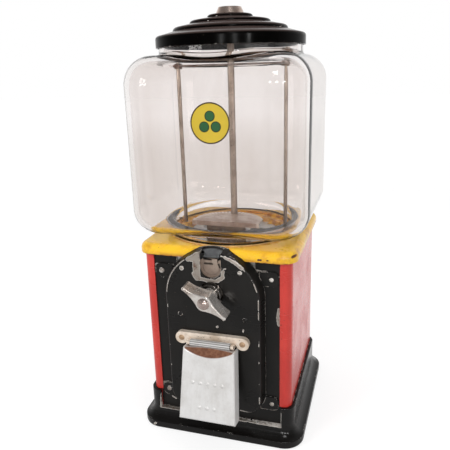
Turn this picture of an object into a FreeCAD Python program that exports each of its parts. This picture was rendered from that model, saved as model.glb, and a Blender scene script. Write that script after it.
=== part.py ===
"""Countertop gumball machine with a coin mechanism, in millimetres.

The origin is the centre of the underside of the base, +Z is up, the front faces -Y and +X is to the
right of a person who faces the front.
"""
import FreeCAD
import Part
import math
import os
from FreeCAD import Vector

# Cabinet and its base
cabinet_width = 140.5
cabinet_corner = 8.0
shell_sheet = 1.2
front_opening_width = 119.4
panel_sheet = 1.2
panel_overlap = 2.3
base_width = 164.0
base_height = 38.5
collar_wall = 3.0
collar_clearance = 0.3
collar_round = 1.0
flare_top = 19.0
foot_band = 8.0
foot_round = 2.0
foot_wall = 3.4
foot_lip_round = 1.0
ledge_top = 18.5
ledge_thickness = 4.5
ledge_depth = 5.0
notch_width = 123.0
base_plate_sheet = 2.0
base_plate_clearance = 0.3
stand_hole_radius = 5.25
boss_radius = 5.0
boss_spacing = 124.0
base_screw_radius = 1.6
base_screw_head = 3.6
base_screw_length = 11.0
cash_tray_width = 112.0
cash_tray_height = 32.0
cash_tray_wall = 1.0
cash_tray_corner = 6.0

# Yellow deck that carries the globe
deck_width = 149.2
deck_corner = 14.0
deck_skirt = 9.4
deck_sheet = 2.0
deck_round = 6.0
deck_inner_round = 1.5
deck_opening_radius = 57.0
deck_gap = 0.4

# Hopper bowl and the bridge under it
bowl_sheet = 1.5
bowl_flange_radius = 64.0
bowl_rim_radius = 48.0
bowl_collar_radius = 43.8
bowl_cone_drop = 9.6
bowl_collar_length = 17.0
bridge_width = 16.0
bridge_sheet = 2.0
bridge_span = 120.0
bridge_drop = 38.6
bridge_foot_length = 9.5
post_radius = 6.0

# Rods inside the globe
rod_radius = 3.2
rod_hole_clearance = 0.1
running_clearance = 0.05
rod_end_gap = 0.5
rod_tail = 6.0
side_rod_radius = 2.0
side_rod_spacing = 105.0
side_rod_tail = 4.5
crossbar_length = 115.0
crossbar_width = 11.0
crossbar_thickness = 2.5
crossbar_drop = 5.5
side_nut_flats = 7.0
side_nut_height = 3.0
rod_nut_flats = 11.0
rod_nut_height = 4.5

# Gum wheel, its gear and the drop plate
wheel_radius = 43.0
wheel_thickness = 12.0
wheel_hub_radius = 9.0
wheel_hub_height = 3.0
wheel_sink = 4.6
pocket_count = 6
pocket_radius = 9.2
pocket_pitch_radius = 25.0
drop_plate_radius = 36.5
drop_plate_sheet = 1.6
wheel_gap = 0.8
washer_radius = 8.0
gear_radius = 40.0
gear_face = 5.0
gear_rim = 10.33
gear_teeth = 48
pinion_teeth = 8
tooth_addendum = 1.3
tooth_dedendum = 2.0
gear_tooth_root_width = 2.9
gear_tooth_tip_width = 1.0
pinion_tooth_root_width = 2.7
pinion_tooth_tip_width = 1.0
drop_tube_wall = 1.0
drop_tube_rise = 16.0
drop_tube_flange = 2.4

# Gum guard and brush above the wheel
guard_height = 21.0
guard_sheet = 1.0
guard_half_width = 33.0
guard_front = -34.0
guard_side = -17.0
guard_rear = 6.0
guard_fold = 6.0
guard_scallops = 13
guard_scallop_rise = 0.8
brush_width = 40.0
brush_thickness = 4.0
brush_wheel_gap = 0.5

# Glass globe
globe_width = 165.0
globe_corner = 32.0
globe_wall = 4.5
globe_body_height = 157.7
globe_top_round = 25.0
globe_bottom_round = 22.0
globe_foot_radius = 66.5
globe_foot_opening = 59.0
globe_foot_height = 6.5
globe_neck_radius = 66.3
globe_neck_opening = 61.5
globe_neck_height = 13.5
globe_joint_round = 3.0
globe_lip_round = 4.0
globe_gasket_thickness = 1.2
lid_gasket_thickness = 1.6

# Lid and its lock
lid_radius = 68.7
lid_rim_height = 10.4
lid_seat_gap = 0.4
lid_rim_round = 3.0
lid_sheet = 1.4
lid_steps = [(52.7, 3.6, 3.6), (37.1, 10.0, 2.6), (20.9, 15.0, 2.5)]
lid_hole_radius = 9.6
lock_base_radius = 13.2
lock_top_radius = 10.4
lock_height = 6.1
lock_spigot_clearance = 0.1
lock_spigot_length = 6.0
lock_plug_radius = 7.7
lock_plug_clearance = 0.3
lock_plug_recess = 1.0
lock_plug_length = 13.5
lock_bore_depth = 6.5
lock_bore_clearance = 0.2
key_slot_length = 9.0
key_slot_width = 1.8
key_slot_depth = 4.0
key_post_radius = 2.2
lock_nut_radius = 14.0
lock_nut_height = 4.0

# Arched mechanism cover
cover_half_width = 46.3
cover_draft = 2.0
cover_depth = 13.95
cover_sheet = 1.6
cover_arch_drop = 5.5
cover_lift = 15.0
cover_bottom_corner = 14.0
cover_edge_round = 2.0
ear_reach = 58.5
ear_height = 14.0
ear_corner = 5.0
ear_rivet_x = 52.4
ear_arch_rise = 18.5
ear_foot_rise = 7.0
panel_rivet_radius = 1.6
panel_rivet_head = 2.8
panel_rivet_rise = 1.3
cover_rivet_offsets = [(27.0, 22.0), (30.8, -23.0)]
cover_rivet_radius = 1.2
cover_rivet_head = 2.4
cover_rivet_rise = 1.0
cover_rivet_length = 4.0
rivet_clearance = 0.05

# Coin mechanism
shaft_height = 155.0
shaft_radius = 4.0
carrier_radius = 32.0
carrier_thickness = 3.2
carrier_gap = 0.5
coin_radius = 9.75
coin_recess_depth = 1.7
coin_offset = 24.5
coin_ring_inset = 1.6
coin_ring_width = 0.7
coin_ring_depth = 0.5
coin_slit_width = 15.0
coin_slit_height = 1.7
coin_slit_rise = 5.6
coin_stop_width = 5.0
coin_stop_height = 4.2
coin_stop_thickness = 0.8
coin_stop_side = 3.2
window_clearance = 0.05
slot_strip = 1.95
entry_gap = 1.0
entry_arch_gap = 0.2
entry_top_width = 23.0
entry_bottom_width = 14.0
entry_notch_radius = 2.4
entry_notch_spacing = 18.6
entry_notch_rise = 1.5
ratchet_radius = 15.0
ratchet_depth = 2.5
ratchet_teeth = 12
ratchet_thickness = 3.0
ratchet_gap = 1.5
pawl_pivot_side = 27.0
pawl_pivot_rise = 8.0
pawl_eye_radius = 3.5
pawl_tip_gap = 0.5
pawl_tip_angle = 50.0
pawl_pin_radius = 1.5
pawl_pin_stub = 1.0
spring_wall = 1.2
spring_end_gap = 0.3
mech_plate_sheet = 1.6
mech_plate_half_width = 41.0
mech_plate_drop = 37.0
mech_plate_rise = 35.0
mech_opening_half_width = 37.0
mech_opening_drop = 29.0
mech_opening_rise = 33.0
coin_outlet_left = 14.0
coin_outlet_right = 36.0
coin_outlet_drop = 34.0
coin_outlet_height = 16.0
mech_post_radius = 2.0
bush_radius = 7.0
bush_length = 20.0
bush_flange_radius = 10.0
bush_flange = 1.6
shaft_collar_radius = 10.0
shaft_collar_length = 4.2
shaft_collar_flange_radius = 11.5
shaft_collar_flange = 1.6
shaft_collar_round = 1.2
shaft_collar_seat_radius = 7.5
shaft_collar_seat_clearance = 0.1

# Handle
handle_angle = 33.7
handle_boss_radius = 7.2
handle_gap = 0.5
handle_length = 17.8
handle_web = 2.0
handle_span = 46.6
wing_tip_radius = 1.6
wing_blend_angle = 60.0
wing_depth = 14.5
wing_edge_round = 1.0
cap_radius = 5.4
cap_rise = 3.0

# Delivery flap, its hinge and the chute
hinge_forward = 8.2
hinge_drop = 46.6
hinge_pin_radius = 1.5
flap_tilt = 10.1
flap_barrel_radius = 3.4
flap_barrel_length = 37.6
flap_sheet = 1.2
flap_forward = 6.7
flap_depth = 14.2
flap_top_drop = 3.0
flap_top_reach = 1.0
flap_top_width = 48.4
flap_bottom_width = 53.8
flap_edge_round = 2.0
flap_overlap = 8.1
flap_scoop_radius = 77.0
flap_scoop_start = 1.5
flap_scoop_fall = 8.5
flap_dimple_radius = 1.9
flap_dimple_height = 0.7
flap_dimple_spacing = 7.0
flap_dimple_rises = (36.5, 13.5)
flap_dimple_counts = (5, 3)
bracket_thickness = 4.5
bracket_screw_spacing = 58.0
bracket_screw_rise_above_pin = 1.5
bracket_lobe_radius = 6.0
bracket_bar_height = 6.8
bracket_ear_radius = 2.4
bracket_ear_gap = 0.6
bracket_ear_width = 2.8
bracket_screw_radius = 1.9
bracket_screw_head = 2.8
bracket_screw_rise = 0.9
bracket_screw_slot = 0.8
bracket_screw_clearance = 0.1
bracket_screw_tail = 3.0
mouth_width = 43.0
mouth_bottom = 45.0
mouth_hinge_drop = 11.4
chute_wall = 1.2
chute_clearance = 0.4
chute_side_height = 30.0
chute_sill = 1.5
chute_lip_height = 2.4
chute_shoulder_height = 15.0
chute_rear_y = -8.0
chute_rear_height = 100.0
chute_flap_gap = 0.6
chute_flange = 6.0
cut_overrun = 1.0

# Places worked out from the sizes above
cabinet_half = cabinet_width / 2
collar_half = cabinet_half + collar_clearance
collar_corner = cabinet_corner + collar_clearance
base_half = base_width / 2
foot_reach = base_half - collar_half
panel_front = -(cabinet_half - shell_sheet)
panel_back = panel_front + panel_sheet
pinion_radius = gear_radius * pinion_teeth / gear_teeth
pitch_height = shaft_height + pinion_radius
gear_root = pitch_height + tooth_dedendum
wheel_bottom = gear_root + gear_rim
wheel_top = wheel_bottom + wheel_thickness
bowl_flange_bottom = wheel_top + wheel_sink
deck_under = bowl_flange_bottom + bowl_sheet
deck_top = deck_under + deck_sheet
cover_arch_height = shaft_height - cover_arch_drop
cover_bottom = ledge_top + cover_lift
cover_front = panel_front - cover_depth
cover_inside = cover_front + cover_sheet
bowl_collar_top = bowl_flange_bottom - bowl_cone_drop
bowl_collar_bottom = bowl_collar_top - bowl_collar_length
bridge_bottom = bowl_flange_bottom - bridge_sheet - bridge_drop
bridge_top = bridge_bottom + bridge_sheet
rod_bottom = bridge_bottom - rod_nut_height - rod_tail
drop_plate_top = wheel_bottom - wheel_gap
drop_plate_bottom = drop_plate_top - drop_plate_sheet
guard_top = wheel_top + guard_height
guard_bottom = guard_top - guard_sheet
drop_tube_bottom = chute_rear_height + drop_tube_rise
gasket_top = deck_top + globe_gasket_thickness
globe_bottom = gasket_top + globe_foot_height
globe_top = globe_bottom + globe_body_height
globe_neck_top = globe_top + globe_neck_height
crossbar_bottom = globe_top - crossbar_drop
crossbar_top = crossbar_bottom + crossbar_thickness
side_rod_bottom = bowl_flange_bottom - bridge_sheet - side_nut_height - side_rod_tail
side_rod_top = crossbar_top + side_nut_height + side_rod_tail
lid_gasket_top = globe_neck_top + lid_gasket_thickness
lid_rim_top = lid_gasket_top + lid_seat_gap + lid_sheet
lid_rim_bottom = lid_rim_top - lid_rim_height
lid_top = lid_rim_top + lid_steps[-1][1] + lid_steps[-1][2]
lock_top = lid_top + lock_height
plug_top = lock_top - lock_plug_recess
plug_bottom = plug_top - lock_plug_length
rod_top = plug_bottom + lock_bore_depth - rod_end_gap
carrier_front = cover_inside + carrier_gap
carrier_back = carrier_front + carrier_thickness
ratchet_front = carrier_back + ratchet_gap
ratchet_back = ratchet_front + ratchet_thickness
mech_plate_back = panel_back + mech_plate_sheet
coin_height = shaft_height + coin_offset
slot_back = panel_front - slot_strip
entry_bottom = shaft_height + carrier_radius + entry_gap
entry_top = cover_arch_height + cover_half_width - cover_sheet
entry_front = carrier_front + coin_recess_depth
pawl_pivot = (pawl_pivot_side, shaft_height + pawl_pivot_rise)
mech_plate_bottom = shaft_height - mech_plate_drop
mech_plate_top = shaft_height + mech_plate_rise
mech_opening_bottom = shaft_height - mech_opening_drop
mech_opening_top = shaft_height + mech_opening_rise
coin_outlet_bottom = shaft_height - coin_outlet_drop
coin_outlet_top = coin_outlet_bottom + coin_outlet_height
pinion_front = -(gear_radius + gear_face / 2)
pinion_back = pinion_front + gear_face
handle_back = cover_front - shaft_collar_length - handle_gap
handle_front = handle_back - handle_length
shaft_front = handle_front + handle_web
hinge_y = cover_front - hinge_forward
hinge_height = shaft_height - hinge_drop
bracket_front = cover_front - bracket_thickness
bracket_screw_height = hinge_height + bracket_screw_rise_above_pin
bracket_top = bracket_screw_height + bracket_lobe_radius
mouth_top = hinge_height - mouth_hinge_drop
chute_half = mouth_width / 2 - chute_clearance
chute_front_height = mouth_bottom + chute_sill


def block(x_range, y_range, z_range):
    """Box between two limits along each axis."""
    corner = Vector(x_range[0], y_range[0], z_range[0])
    size = [limits[1] - limits[0] for limits in (x_range, y_range, z_range)]
    return Part.makeBox(size[0], size[1], size[2], corner)


def rod_z(radius, low, high, x=0.0, y=0.0):
    """Upright cylinder."""
    return Part.makeCylinder(radius, high - low, Vector(x, y, low))


def rod_y(radius, front, back, x=0.0, z=shaft_height):
    """Cylinder that runs from the front to the back."""
    return Part.makeCylinder(radius, back - front, Vector(x, front, z), Vector(0, 1, 0))


def rod_x(radius, half_length, y, z):
    """Cylinder across the machine, centred on its middle."""
    return Part.makeCylinder(radius, 2 * half_length, Vector(-half_length, y, z), Vector(1, 0, 0))


def upright(a, b):
    """Point of a drawing in the plane of X and Z."""
    return Vector(a, 0, b)


def sideways(a, b):
    """Point of a drawing in the plane of Y and Z."""
    return Vector(0, a, b)


def outline(place, start, *steps):
    """Closed wire from a start point and steps: a step is an end point, or an arc's middle and end."""
    edges = []
    here = start
    for step in steps + (start,):
        if isinstance(step[0], tuple):
            middle, end = step
            edges.append(Part.Arc(place(*here), place(*middle), place(*end)).toShape())
        else:
            end = step
            if math.dist(here, end) > 1e-9:
                edges.append(Part.LineSegment(place(*here), place(*end)).toShape())
        here = end
    return Part.Wire(edges)


def extrude_y(wire, front, back):
    """Prism of an upright outline between two depths."""
    face = Part.Face(wire)
    face.translate(Vector(0, front, 0))
    return face.extrude(Vector(0, back - front, 0))


def extrude_x(wire, half_width):
    """Prism of a sideways outline, centred on the middle of the machine."""
    face = Part.Face(wire)
    face.translate(Vector(-half_width, 0, 0))
    return face.extrude(Vector(2 * half_width, 0, 0))


def revolve(wire):
    """Turned solid about the upright axis."""
    return Part.Face(wire).revolve(Vector(0, 0, 0), Vector(0, 0, 1), 360)


def ring(inner, outer, low, high, x=0.0, y=0.0):
    """Flat ring or tube about an upright axis."""
    return rod_z(outer, low, high, x, y).cut(rod_z(inner, low, high, x, y))


def rounded_square(half, corner, height):
    """Square wire with round corners, starting at the middle of its right side."""
    straight = half - corner
    diagonal = straight + corner * math.sqrt(0.5)
    edges = []
    here = (half, 0.0)
    for quarter in range(4):
        turn = math.pi / 2 * quarter
        cosine, sine = round(math.cos(turn)), round(math.sin(turn))
        spots = [(half, straight), (diagonal, diagonal), (straight, half), (0.0, half)]
        turned = [(x * cosine - y * sine, x * sine + y * cosine) for x, y in spots]
        points = [Vector(x, y, height) for x, y in [here] + turned]
        edges.append(Part.LineSegment(points[0], points[1]).toShape())
        edges.append(Part.Arc(points[1], points[2], points[3]).toShape())
        edges.append(Part.LineSegment(points[3], points[4]).toShape())
        here = turned[3]
    return Part.Wire(edges)


def rounded_block(half, corner, low, high):
    """Square block with round upright corners."""
    return Part.Face(rounded_square(half, corner, low)).extrude(Vector(0, 0, high - low))


def edges_at(shape, axis, level):
    """Edges of a shape that lie wholly at one level of an axis."""
    found = []
    for edge in shape.Edges:
        bounds = edge.BoundBox
        low = (bounds.XMin, bounds.YMin, bounds.ZMin)[axis]
        high = (bounds.XMax, bounds.YMax, bounds.ZMax)[axis]
        if abs(low - level) < 1e-3 and abs(high - level) < 1e-3:
            found.append(edge)
    return found


def hex_nut(flats, hole, low, high, x=0.0, y=0.0):
    """Hexagonal nut about an upright axis."""
    reach = flats / math.sqrt(3)
    corners = [math.pi / 3 * side for side in range(7)]
    points = [Vector(x + reach * math.cos(a), y + reach * math.sin(a), low) for a in corners]
    prism = Part.Face(Part.makePolygon(points)).extrude(Vector(0, 0, high - low))
    return prism.cut(rod_z(hole, low, high, x, y))


def mirrored_x(shape):
    """Copy of a shape on the other side of the middle plane."""
    return shape.mirror(Vector(0, 0, 0), Vector(1, 0, 0))


def both_sides(shape):
    """The shape and its mirror copy, as one group of separate solids."""
    return Part.makeCompound([shape, mirrored_x(shape)])


# Base
def base_boss_places():
    """Centres of the four screw bosses."""
    reach = boss_spacing / 2
    return [(x, y) for x in (-reach, reach) for y in (-reach, reach)]


def base_skirt():
    """Flared base with a collar round the cabinet's foot and a ledge that the cabinet stands on."""
    lip = min(foot_lip_round, (foot_reach - collar_wall) / 2)
    flare_end = (foot_reach - lip, foot_band)
    run = flare_end[0] - collar_wall
    fall = flare_top - flare_end[1]
    radius = (run ** 2 + fall ** 2) / (2 * run)
    half_turn = math.asin(fall / radius) / 2
    if run > radius:
        half_turn = math.pi / 2 - half_turn
    flare_middle = (collar_wall + radius * (1 - math.cos(half_turn)), flare_top - radius * math.sin(half_turn))
    slant = math.sqrt(0.5)
    ledge_bottom = ledge_top - ledge_thickness
    inside = foot_reach - foot_wall
    profile = outline(
        lambda out, up: Vector(collar_half + out, 0, up),
        (0.0, base_height),
        (collar_wall - collar_round, base_height),
        ((collar_wall - collar_round * (1 - slant), base_height - collar_round * (1 - slant)),
         (collar_wall, base_height - collar_round)),
        (collar_wall, flare_top),
        (flare_middle, flare_end),
        ((foot_reach - lip * (1 - slant), foot_band - lip * (1 - slant)), (foot_reach, foot_band - lip)),
        (foot_reach, foot_round),
        ((foot_reach - foot_round * (1 - slant), foot_round * (1 - slant)), (foot_reach - foot_round, 0.0)),
        (inside, 0.0),
        (inside, ledge_thickness),
        (0.0, ledge_bottom),
        (-ledge_depth, ledge_bottom),
        (-ledge_depth, ledge_top),
        (0.0, ledge_top))
    path = rounded_square(collar_half, collar_corner, 0.0)
    skirt = path.makePipeShell([profile], True, False)
    for x, y in base_boss_places():
        skirt = skirt.fuse(rod_z(boss_radius, base_plate_sheet, ledge_bottom + ledge_thickness / 2, x, y))
    for x, y in base_boss_places():
        hole_top = base_screw_length + base_plate_sheet
        skirt = skirt.cut(rod_z(base_screw_radius + rivet_clearance, 0.0, hole_top, x, y))
    notch_half = notch_width / 2
    notch = block((-notch_half, notch_half), (-base_half, -cabinet_half), (ledge_top, base_height))
    return skirt.cut(notch).removeSplitter()


def flat_head(grow):
    """Countersunk screw standing on its head at the origin, grown by a clearance for its hole."""
    head = Part.makeCone(base_screw_head + grow, base_screw_radius + grow, base_plate_sheet)
    return head.fuse(rod_z(base_screw_radius + grow, 0.0, base_screw_length))


def base_plate():
    """Bottom plate with the hole for a stand bolt."""
    reach = foot_reach - foot_wall - base_plate_clearance
    plate = rounded_block(collar_half + reach, collar_corner + reach, 0.0, base_plate_sheet)
    plate = plate.cut(rod_z(stand_hole_radius, 0.0, base_plate_sheet))
    for x, y in base_boss_places():
        plate = plate.cut(flat_head(rivet_clearance).translated(Vector(x, y, 0)))
    return plate


def base_screws():
    """Four screws that hold the bottom plate to the bosses."""
    screw = flat_head(0.0)
    return Part.makeCompound([screw.translated(Vector(x, y, 0)) for x, y in base_boss_places()])


def cash_tray():
    """Open tin tray that catches the coins."""
    half = cash_tray_width / 2
    top = base_plate_sheet + cash_tray_height
    inner_corner = cash_tray_corner - cash_tray_wall
    tray = rounded_block(half, cash_tray_corner, base_plate_sheet, top)
    floor = base_plate_sheet + cash_tray_wall
    return tray.cut(rounded_block(half - cash_tray_wall, inner_corner, floor, top))


# Cabinet
def cabinet_shell():
    """Wrapped sheet: sides, back and two narrow front returns, cut away behind the base's notch."""
    shell = rounded_block(cabinet_half, cabinet_corner, ledge_top, deck_under)
    inner = rounded_block(cabinet_half - shell_sheet, cabinet_corner - shell_sheet, ledge_top, deck_under)
    opening = front_opening_width / 2
    gap = block((-opening, opening), (-cabinet_half, 0), (ledge_top, deck_under))
    notch_half = notch_width / 2
    foot_gap = block((-notch_half, notch_half), (-cabinet_half, panel_front), (ledge_top, base_height))
    return shell.cut(inner).cut(gap).cut(foot_gap)


def front_panel():
    """Black sheet behind the returns, open behind the mechanism and at the delivery mouth."""
    half = front_opening_width / 2 + panel_overlap
    depth = (panel_front, panel_back)
    panel = block((-half, half), depth, (ledge_top, deck_under))
    opening = mech_opening_half_width
    panel = panel.cut(block((-opening, opening), depth, (mech_opening_bottom, mech_opening_top)))
    mouth = mouth_width / 2
    panel = panel.cut(block((-mouth, mouth), depth, (mouth_bottom, mouth_top)))
    for x, z in ear_rivet_places():
        panel = panel.cut(rod_y(panel_rivet_radius + rivet_clearance, panel_front, panel_back, x, z))
    return panel


def ear_rivet_places():
    """Centres of the four rivets in the cover's ears."""
    heights = (cover_arch_height + ear_arch_rise, cover_bottom + ear_foot_rise)
    return [(side * ear_rivet_x, height) for side in (-1, 1) for height in heights]


def cover_rivet_places():
    """Centres of the four rivets in the cover's face."""
    return [(side * x, shaft_height + rise) for side in (-1, 1) for x, rise in cover_rivet_offsets]


def arch_wire(inset, depth):
    """Outline of the cover at one depth: an arch above straight sides and a round-cornered foot."""
    half = cover_half_width - inset
    bottom = cover_bottom + inset
    corner = cover_bottom_corner
    bend = corner * (1 - math.sqrt(0.5))
    wire = outline(
        upright,
        (half, cover_arch_height),
        ((0.0, cover_arch_height + half), (-half, cover_arch_height)),
        (-half, bottom + corner),
        ((-half + bend, bottom + bend), (-half + corner, bottom)),
        (half - corner, bottom),
        ((half - bend, bottom + bend), (half, bottom + corner)))
    return wire.translated(Vector(0, depth, 0))


def cover_body(inset, front, back):
    """Drafted arch solid between two depths, its walls set in by an amount."""
    slope = cover_draft / cover_depth
    wires = [arch_wire(inset + (panel_front - depth) * slope, depth) for depth in (back, front)]
    return Part.makeLoft(wires, True, True)


def dome_y(radius, rise, face, x, z):
    """Low dome that stands out of a front face."""
    bulge = (radius ** 2 + rise ** 2) / (2 * rise)
    ball = Part.makeSphere(bulge, Vector(x, face - rise + bulge, z), Vector(0, 1, 0))
    reach = 2 * bulge
    return ball.common(block((x - reach, x + reach), (face - reach, face), (z - reach, z + reach)))


def rivet_y(radius, head, rise, face, length, x, z):
    """Dome-headed rivet that goes in from a front face."""
    return dome_y(head, rise, face, x, z).fuse(rod_y(radius, face, face + length, x, z))


def mech_cover():
    """Arched pan over the coin mechanism, with four ears riveted to the panel."""
    body = cover_body(0.0, cover_front, panel_front)
    body = body.makeFillet(cover_edge_round, edges_at(body, 1, cover_front))
    ear_half = ear_height / 2
    for x, z in ear_rivet_places():
        side = 1 if x > 0 else -1
        reach = side * ear_reach
        bend = reach - side * ear_corner
        slant = reach - side * ear_corner * (1 - math.sqrt(0.5))
        drop = ear_half - ear_corner * (1 - math.sqrt(0.5))
        ear = outline(
            upright,
            (side * (cover_half_width - ear_corner), z - ear_half),
            (bend, z - ear_half),
            ((slant, z - drop), (reach, z - ear_half + ear_corner)),
            (reach, z + ear_half - ear_corner),
            ((slant, z + drop), (bend, z + ear_half)),
            (side * (cover_half_width - ear_corner), z + ear_half))
        body = body.fuse(extrude_y(ear, panel_front - cover_sheet, panel_front))
    body = body.cut(cover_body(cover_sheet, cover_inside, panel_front))
    for x, z in ear_rivet_places():
        body = body.cut(rod_y(panel_rivet_radius + rivet_clearance, cover_front, panel_front, x, z))
    for x, z in cover_rivet_places():
        body = body.cut(rod_y(cover_rivet_radius + rivet_clearance, cover_front, cover_inside, x, z))
    window = coin_radius + window_clearance
    body = body.cut(rod_y(window, cover_front, cover_inside, 0.0, coin_height))
    arch_top = cover_arch_height + cover_half_width + cut_overrun
    body = body.cut(block((-window, window), (cover_front, slot_back), (coin_height, arch_top)))
    seat = shaft_collar_seat_radius + shaft_collar_seat_clearance
    body = body.cut(rod_y(seat, cover_front, cover_inside))
    mouth = mouth_width / 2
    body = body.cut(block((-mouth, mouth), (cover_front, cover_inside), (mouth_bottom, mouth_top)))
    for side in (-1, 1):
        x = side * bracket_screw_spacing / 2
        hole = bracket_screw_radius + bracket_screw_clearance
        body = body.cut(rod_y(hole, cover_front, cover_inside, x, bracket_screw_height))
    return body.removeSplitter()


def panel_rivets():
    """Rivets through the cover's ears and the panel."""
    face = panel_front - cover_sheet
    length = cover_sheet + panel_sheet
    size = (panel_rivet_radius, panel_rivet_head, panel_rivet_rise, face, length)
    return Part.makeCompound([rivet_y(*size, x, z) for x, z in ear_rivet_places()])


def cover_rivets():
    """Rivets that hold the cover to the mechanism's posts."""
    size = (cover_rivet_radius, cover_rivet_head, cover_rivet_rise, cover_front, cover_rivet_length)
    return Part.makeCompound([rivet_y(*size, x, z) for x, z in cover_rivet_places()])


# Deck, hopper and bridge
def deck():
    """Pressed plate with a rounded edge, notched at the front for the cover."""
    bottom = deck_top - deck_skirt
    plate = rounded_block(deck_width / 2, deck_corner, bottom, deck_top)
    plate = plate.makeFillet(deck_round, edges_at(plate, 2, deck_top))
    hollow = rounded_block(deck_width / 2 - deck_sheet, deck_corner - deck_sheet, bottom, deck_under)
    hollow = hollow.makeFillet(deck_inner_round, edges_at(hollow, 2, deck_under))
    plate = plate.cut(hollow).cut(rod_z(deck_opening_radius, bottom, deck_top))
    return plate.cut(cover_body(-deck_gap, cover_front, panel_front + deck_gap))


def hopper_bowl():
    """Turned bowl: a flange under the deck, a cone and a collar round the wheel."""
    lean = math.atan2(bowl_rim_radius - bowl_collar_radius, bowl_cone_drop)
    shift = bowl_sheet * math.tan((math.pi / 2 - lean) / 2)
    sag = bowl_sheet * math.tan(lean / 2)
    outer = bowl_collar_radius + bowl_sheet
    bowl = revolve(outline(
        upright,
        (bowl_rim_radius, deck_under),
        (bowl_flange_radius, deck_under),
        (bowl_flange_radius, bowl_flange_bottom),
        (bowl_rim_radius + shift, bowl_flange_bottom),
        (outer, bowl_collar_top + bowl_sheet - sag),
        (outer, bowl_collar_bottom + bowl_sheet),
        (bowl_collar_radius, bowl_collar_bottom + bowl_sheet),
        (bowl_collar_radius, bowl_collar_top + bowl_sheet)))
    hole = side_rod_radius + rod_hole_clearance
    for side in (-1, 1):
        bowl = bowl.cut(rod_z(hole, bowl_flange_bottom, deck_under, side * side_rod_spacing / 2))
    return bowl


def hopper_bridge():
    """Bent strap that hangs under the bowl's flange and carries the centre rod."""
    span = bridge_span / 2
    width = bridge_width / 2
    foot_top = bowl_flange_bottom
    outer = block((-span, span), (-width, width), (bridge_bottom, foot_top))
    reach = span - bridge_sheet
    inner = block((-reach, reach), (-width, width), (bridge_top, foot_top - bridge_sheet))
    gap = span - bridge_foot_length
    mouth = block((-gap, gap), (-width, width), (foot_top - bridge_sheet, foot_top))
    strap = outer.cut(inner).cut(mouth)
    strap = strap.cut(rod_z(rod_radius + rod_hole_clearance, bridge_bottom, bridge_top))
    hole = side_rod_radius + rod_hole_clearance
    for side in (-1, 1):
        strap = strap.cut(rod_z(hole, foot_top - bridge_sheet, foot_top, side * side_rod_spacing / 2))
    return strap


def centre_post():
    """Spacer tube on the bridge that carries the drop plate."""
    return ring(rod_radius + rod_hole_clearance, post_radius, bridge_top, drop_plate_bottom)


def centre_rod():
    """Tie rod from the bridge up to the lock."""
    return rod_z(rod_radius, rod_bottom, rod_top)


def bridge_nut():
    """Nut on the tie rod under the bridge."""
    hole = rod_radius + rod_hole_clearance
    return hex_nut(rod_nut_flats, hole, bridge_bottom - rod_nut_height, bridge_bottom)


def side_rod(side):
    """Thin upright rod inside the globe."""
    return rod_z(side_rod_radius, side_rod_bottom, side_rod_top, side * side_rod_spacing / 2)


def crossbar():
    """Flat bar with round ends that ties the three rods in the globe's neck."""
    half = crossbar_length / 2 - crossbar_width / 2
    width = crossbar_width / 2
    bar = block((-half, half), (-width, width), (crossbar_bottom, crossbar_top))
    for side in (-1, 1):
        bar = bar.fuse(rod_z(width, crossbar_bottom, crossbar_top, side * half))
    for side in (-1, 1):
        hole = side_rod_radius + rod_hole_clearance
        bar = bar.cut(rod_z(hole, crossbar_bottom, crossbar_top, side * side_rod_spacing / 2))
    bar = bar.cut(rod_z(rod_radius + rod_hole_clearance, crossbar_bottom, crossbar_top))
    return bar.removeSplitter()


def side_rod_nuts():
    """Nuts at both ends of the side rods: under the bridge's feet, and on both faces of the crossbar."""
    hole = side_rod_radius + rod_hole_clearance
    foot = bowl_flange_bottom - bridge_sheet
    lows = (foot - side_nut_height, crossbar_bottom - side_nut_height, crossbar_top)
    nuts = []
    for side in (-1, 1):
        x = side * side_rod_spacing / 2
        nuts += [hex_nut(side_nut_flats, hole, low, low + side_nut_height, x) for low in lows]
    return Part.makeCompound(nuts)


# Gum wheel and its drive
def drop_plate():
    """Fixed floor under the wheel, with the hole that a ball drops through."""
    plate = ring(rod_radius + rod_hole_clearance, drop_plate_radius, drop_plate_bottom, drop_plate_top)
    return plate.cut(rod_z(pocket_radius, drop_plate_bottom, drop_plate_top, 0.0, -pocket_pitch_radius))


def thrust_washer():
    """Washer between the drop plate and the wheel."""
    return ring(rod_radius + rod_hole_clearance, washer_radius, drop_plate_top, wheel_bottom)


def gum_wheel():
    """Pocketed wheel that turns on the tie rod, its pockets half a step from the drop hole at rest."""
    wheel = rod_z(wheel_radius, wheel_bottom, wheel_top)
    wheel = wheel.fuse(rod_z(wheel_hub_radius, wheel_top, wheel_top + wheel_hub_height)).removeSplitter()
    wheel = wheel.cut(rod_z(rod_radius + running_clearance, wheel_bottom, wheel_top + wheel_hub_height))
    step = 2 * math.pi / pocket_count
    for pocket in range(pocket_count):
        angle = -math.pi / 2 + step * (pocket + 0.5)
        x = pocket_pitch_radius * math.cos(angle)
        y = pocket_pitch_radius * math.sin(angle)
        wheel = wheel.cut(rod_z(pocket_radius, wheel_bottom, wheel_top, x, y))
    return wheel


def tooth(root_width, tip_width, root, tip):
    """Trapezoid of a gear tooth that points up from the origin."""
    half_root = root_width / 2
    half_tip = tip_width / 2
    return outline(upright, (-half_root, root), (-half_tip, tip), (half_tip, tip), (half_root, root))


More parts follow.
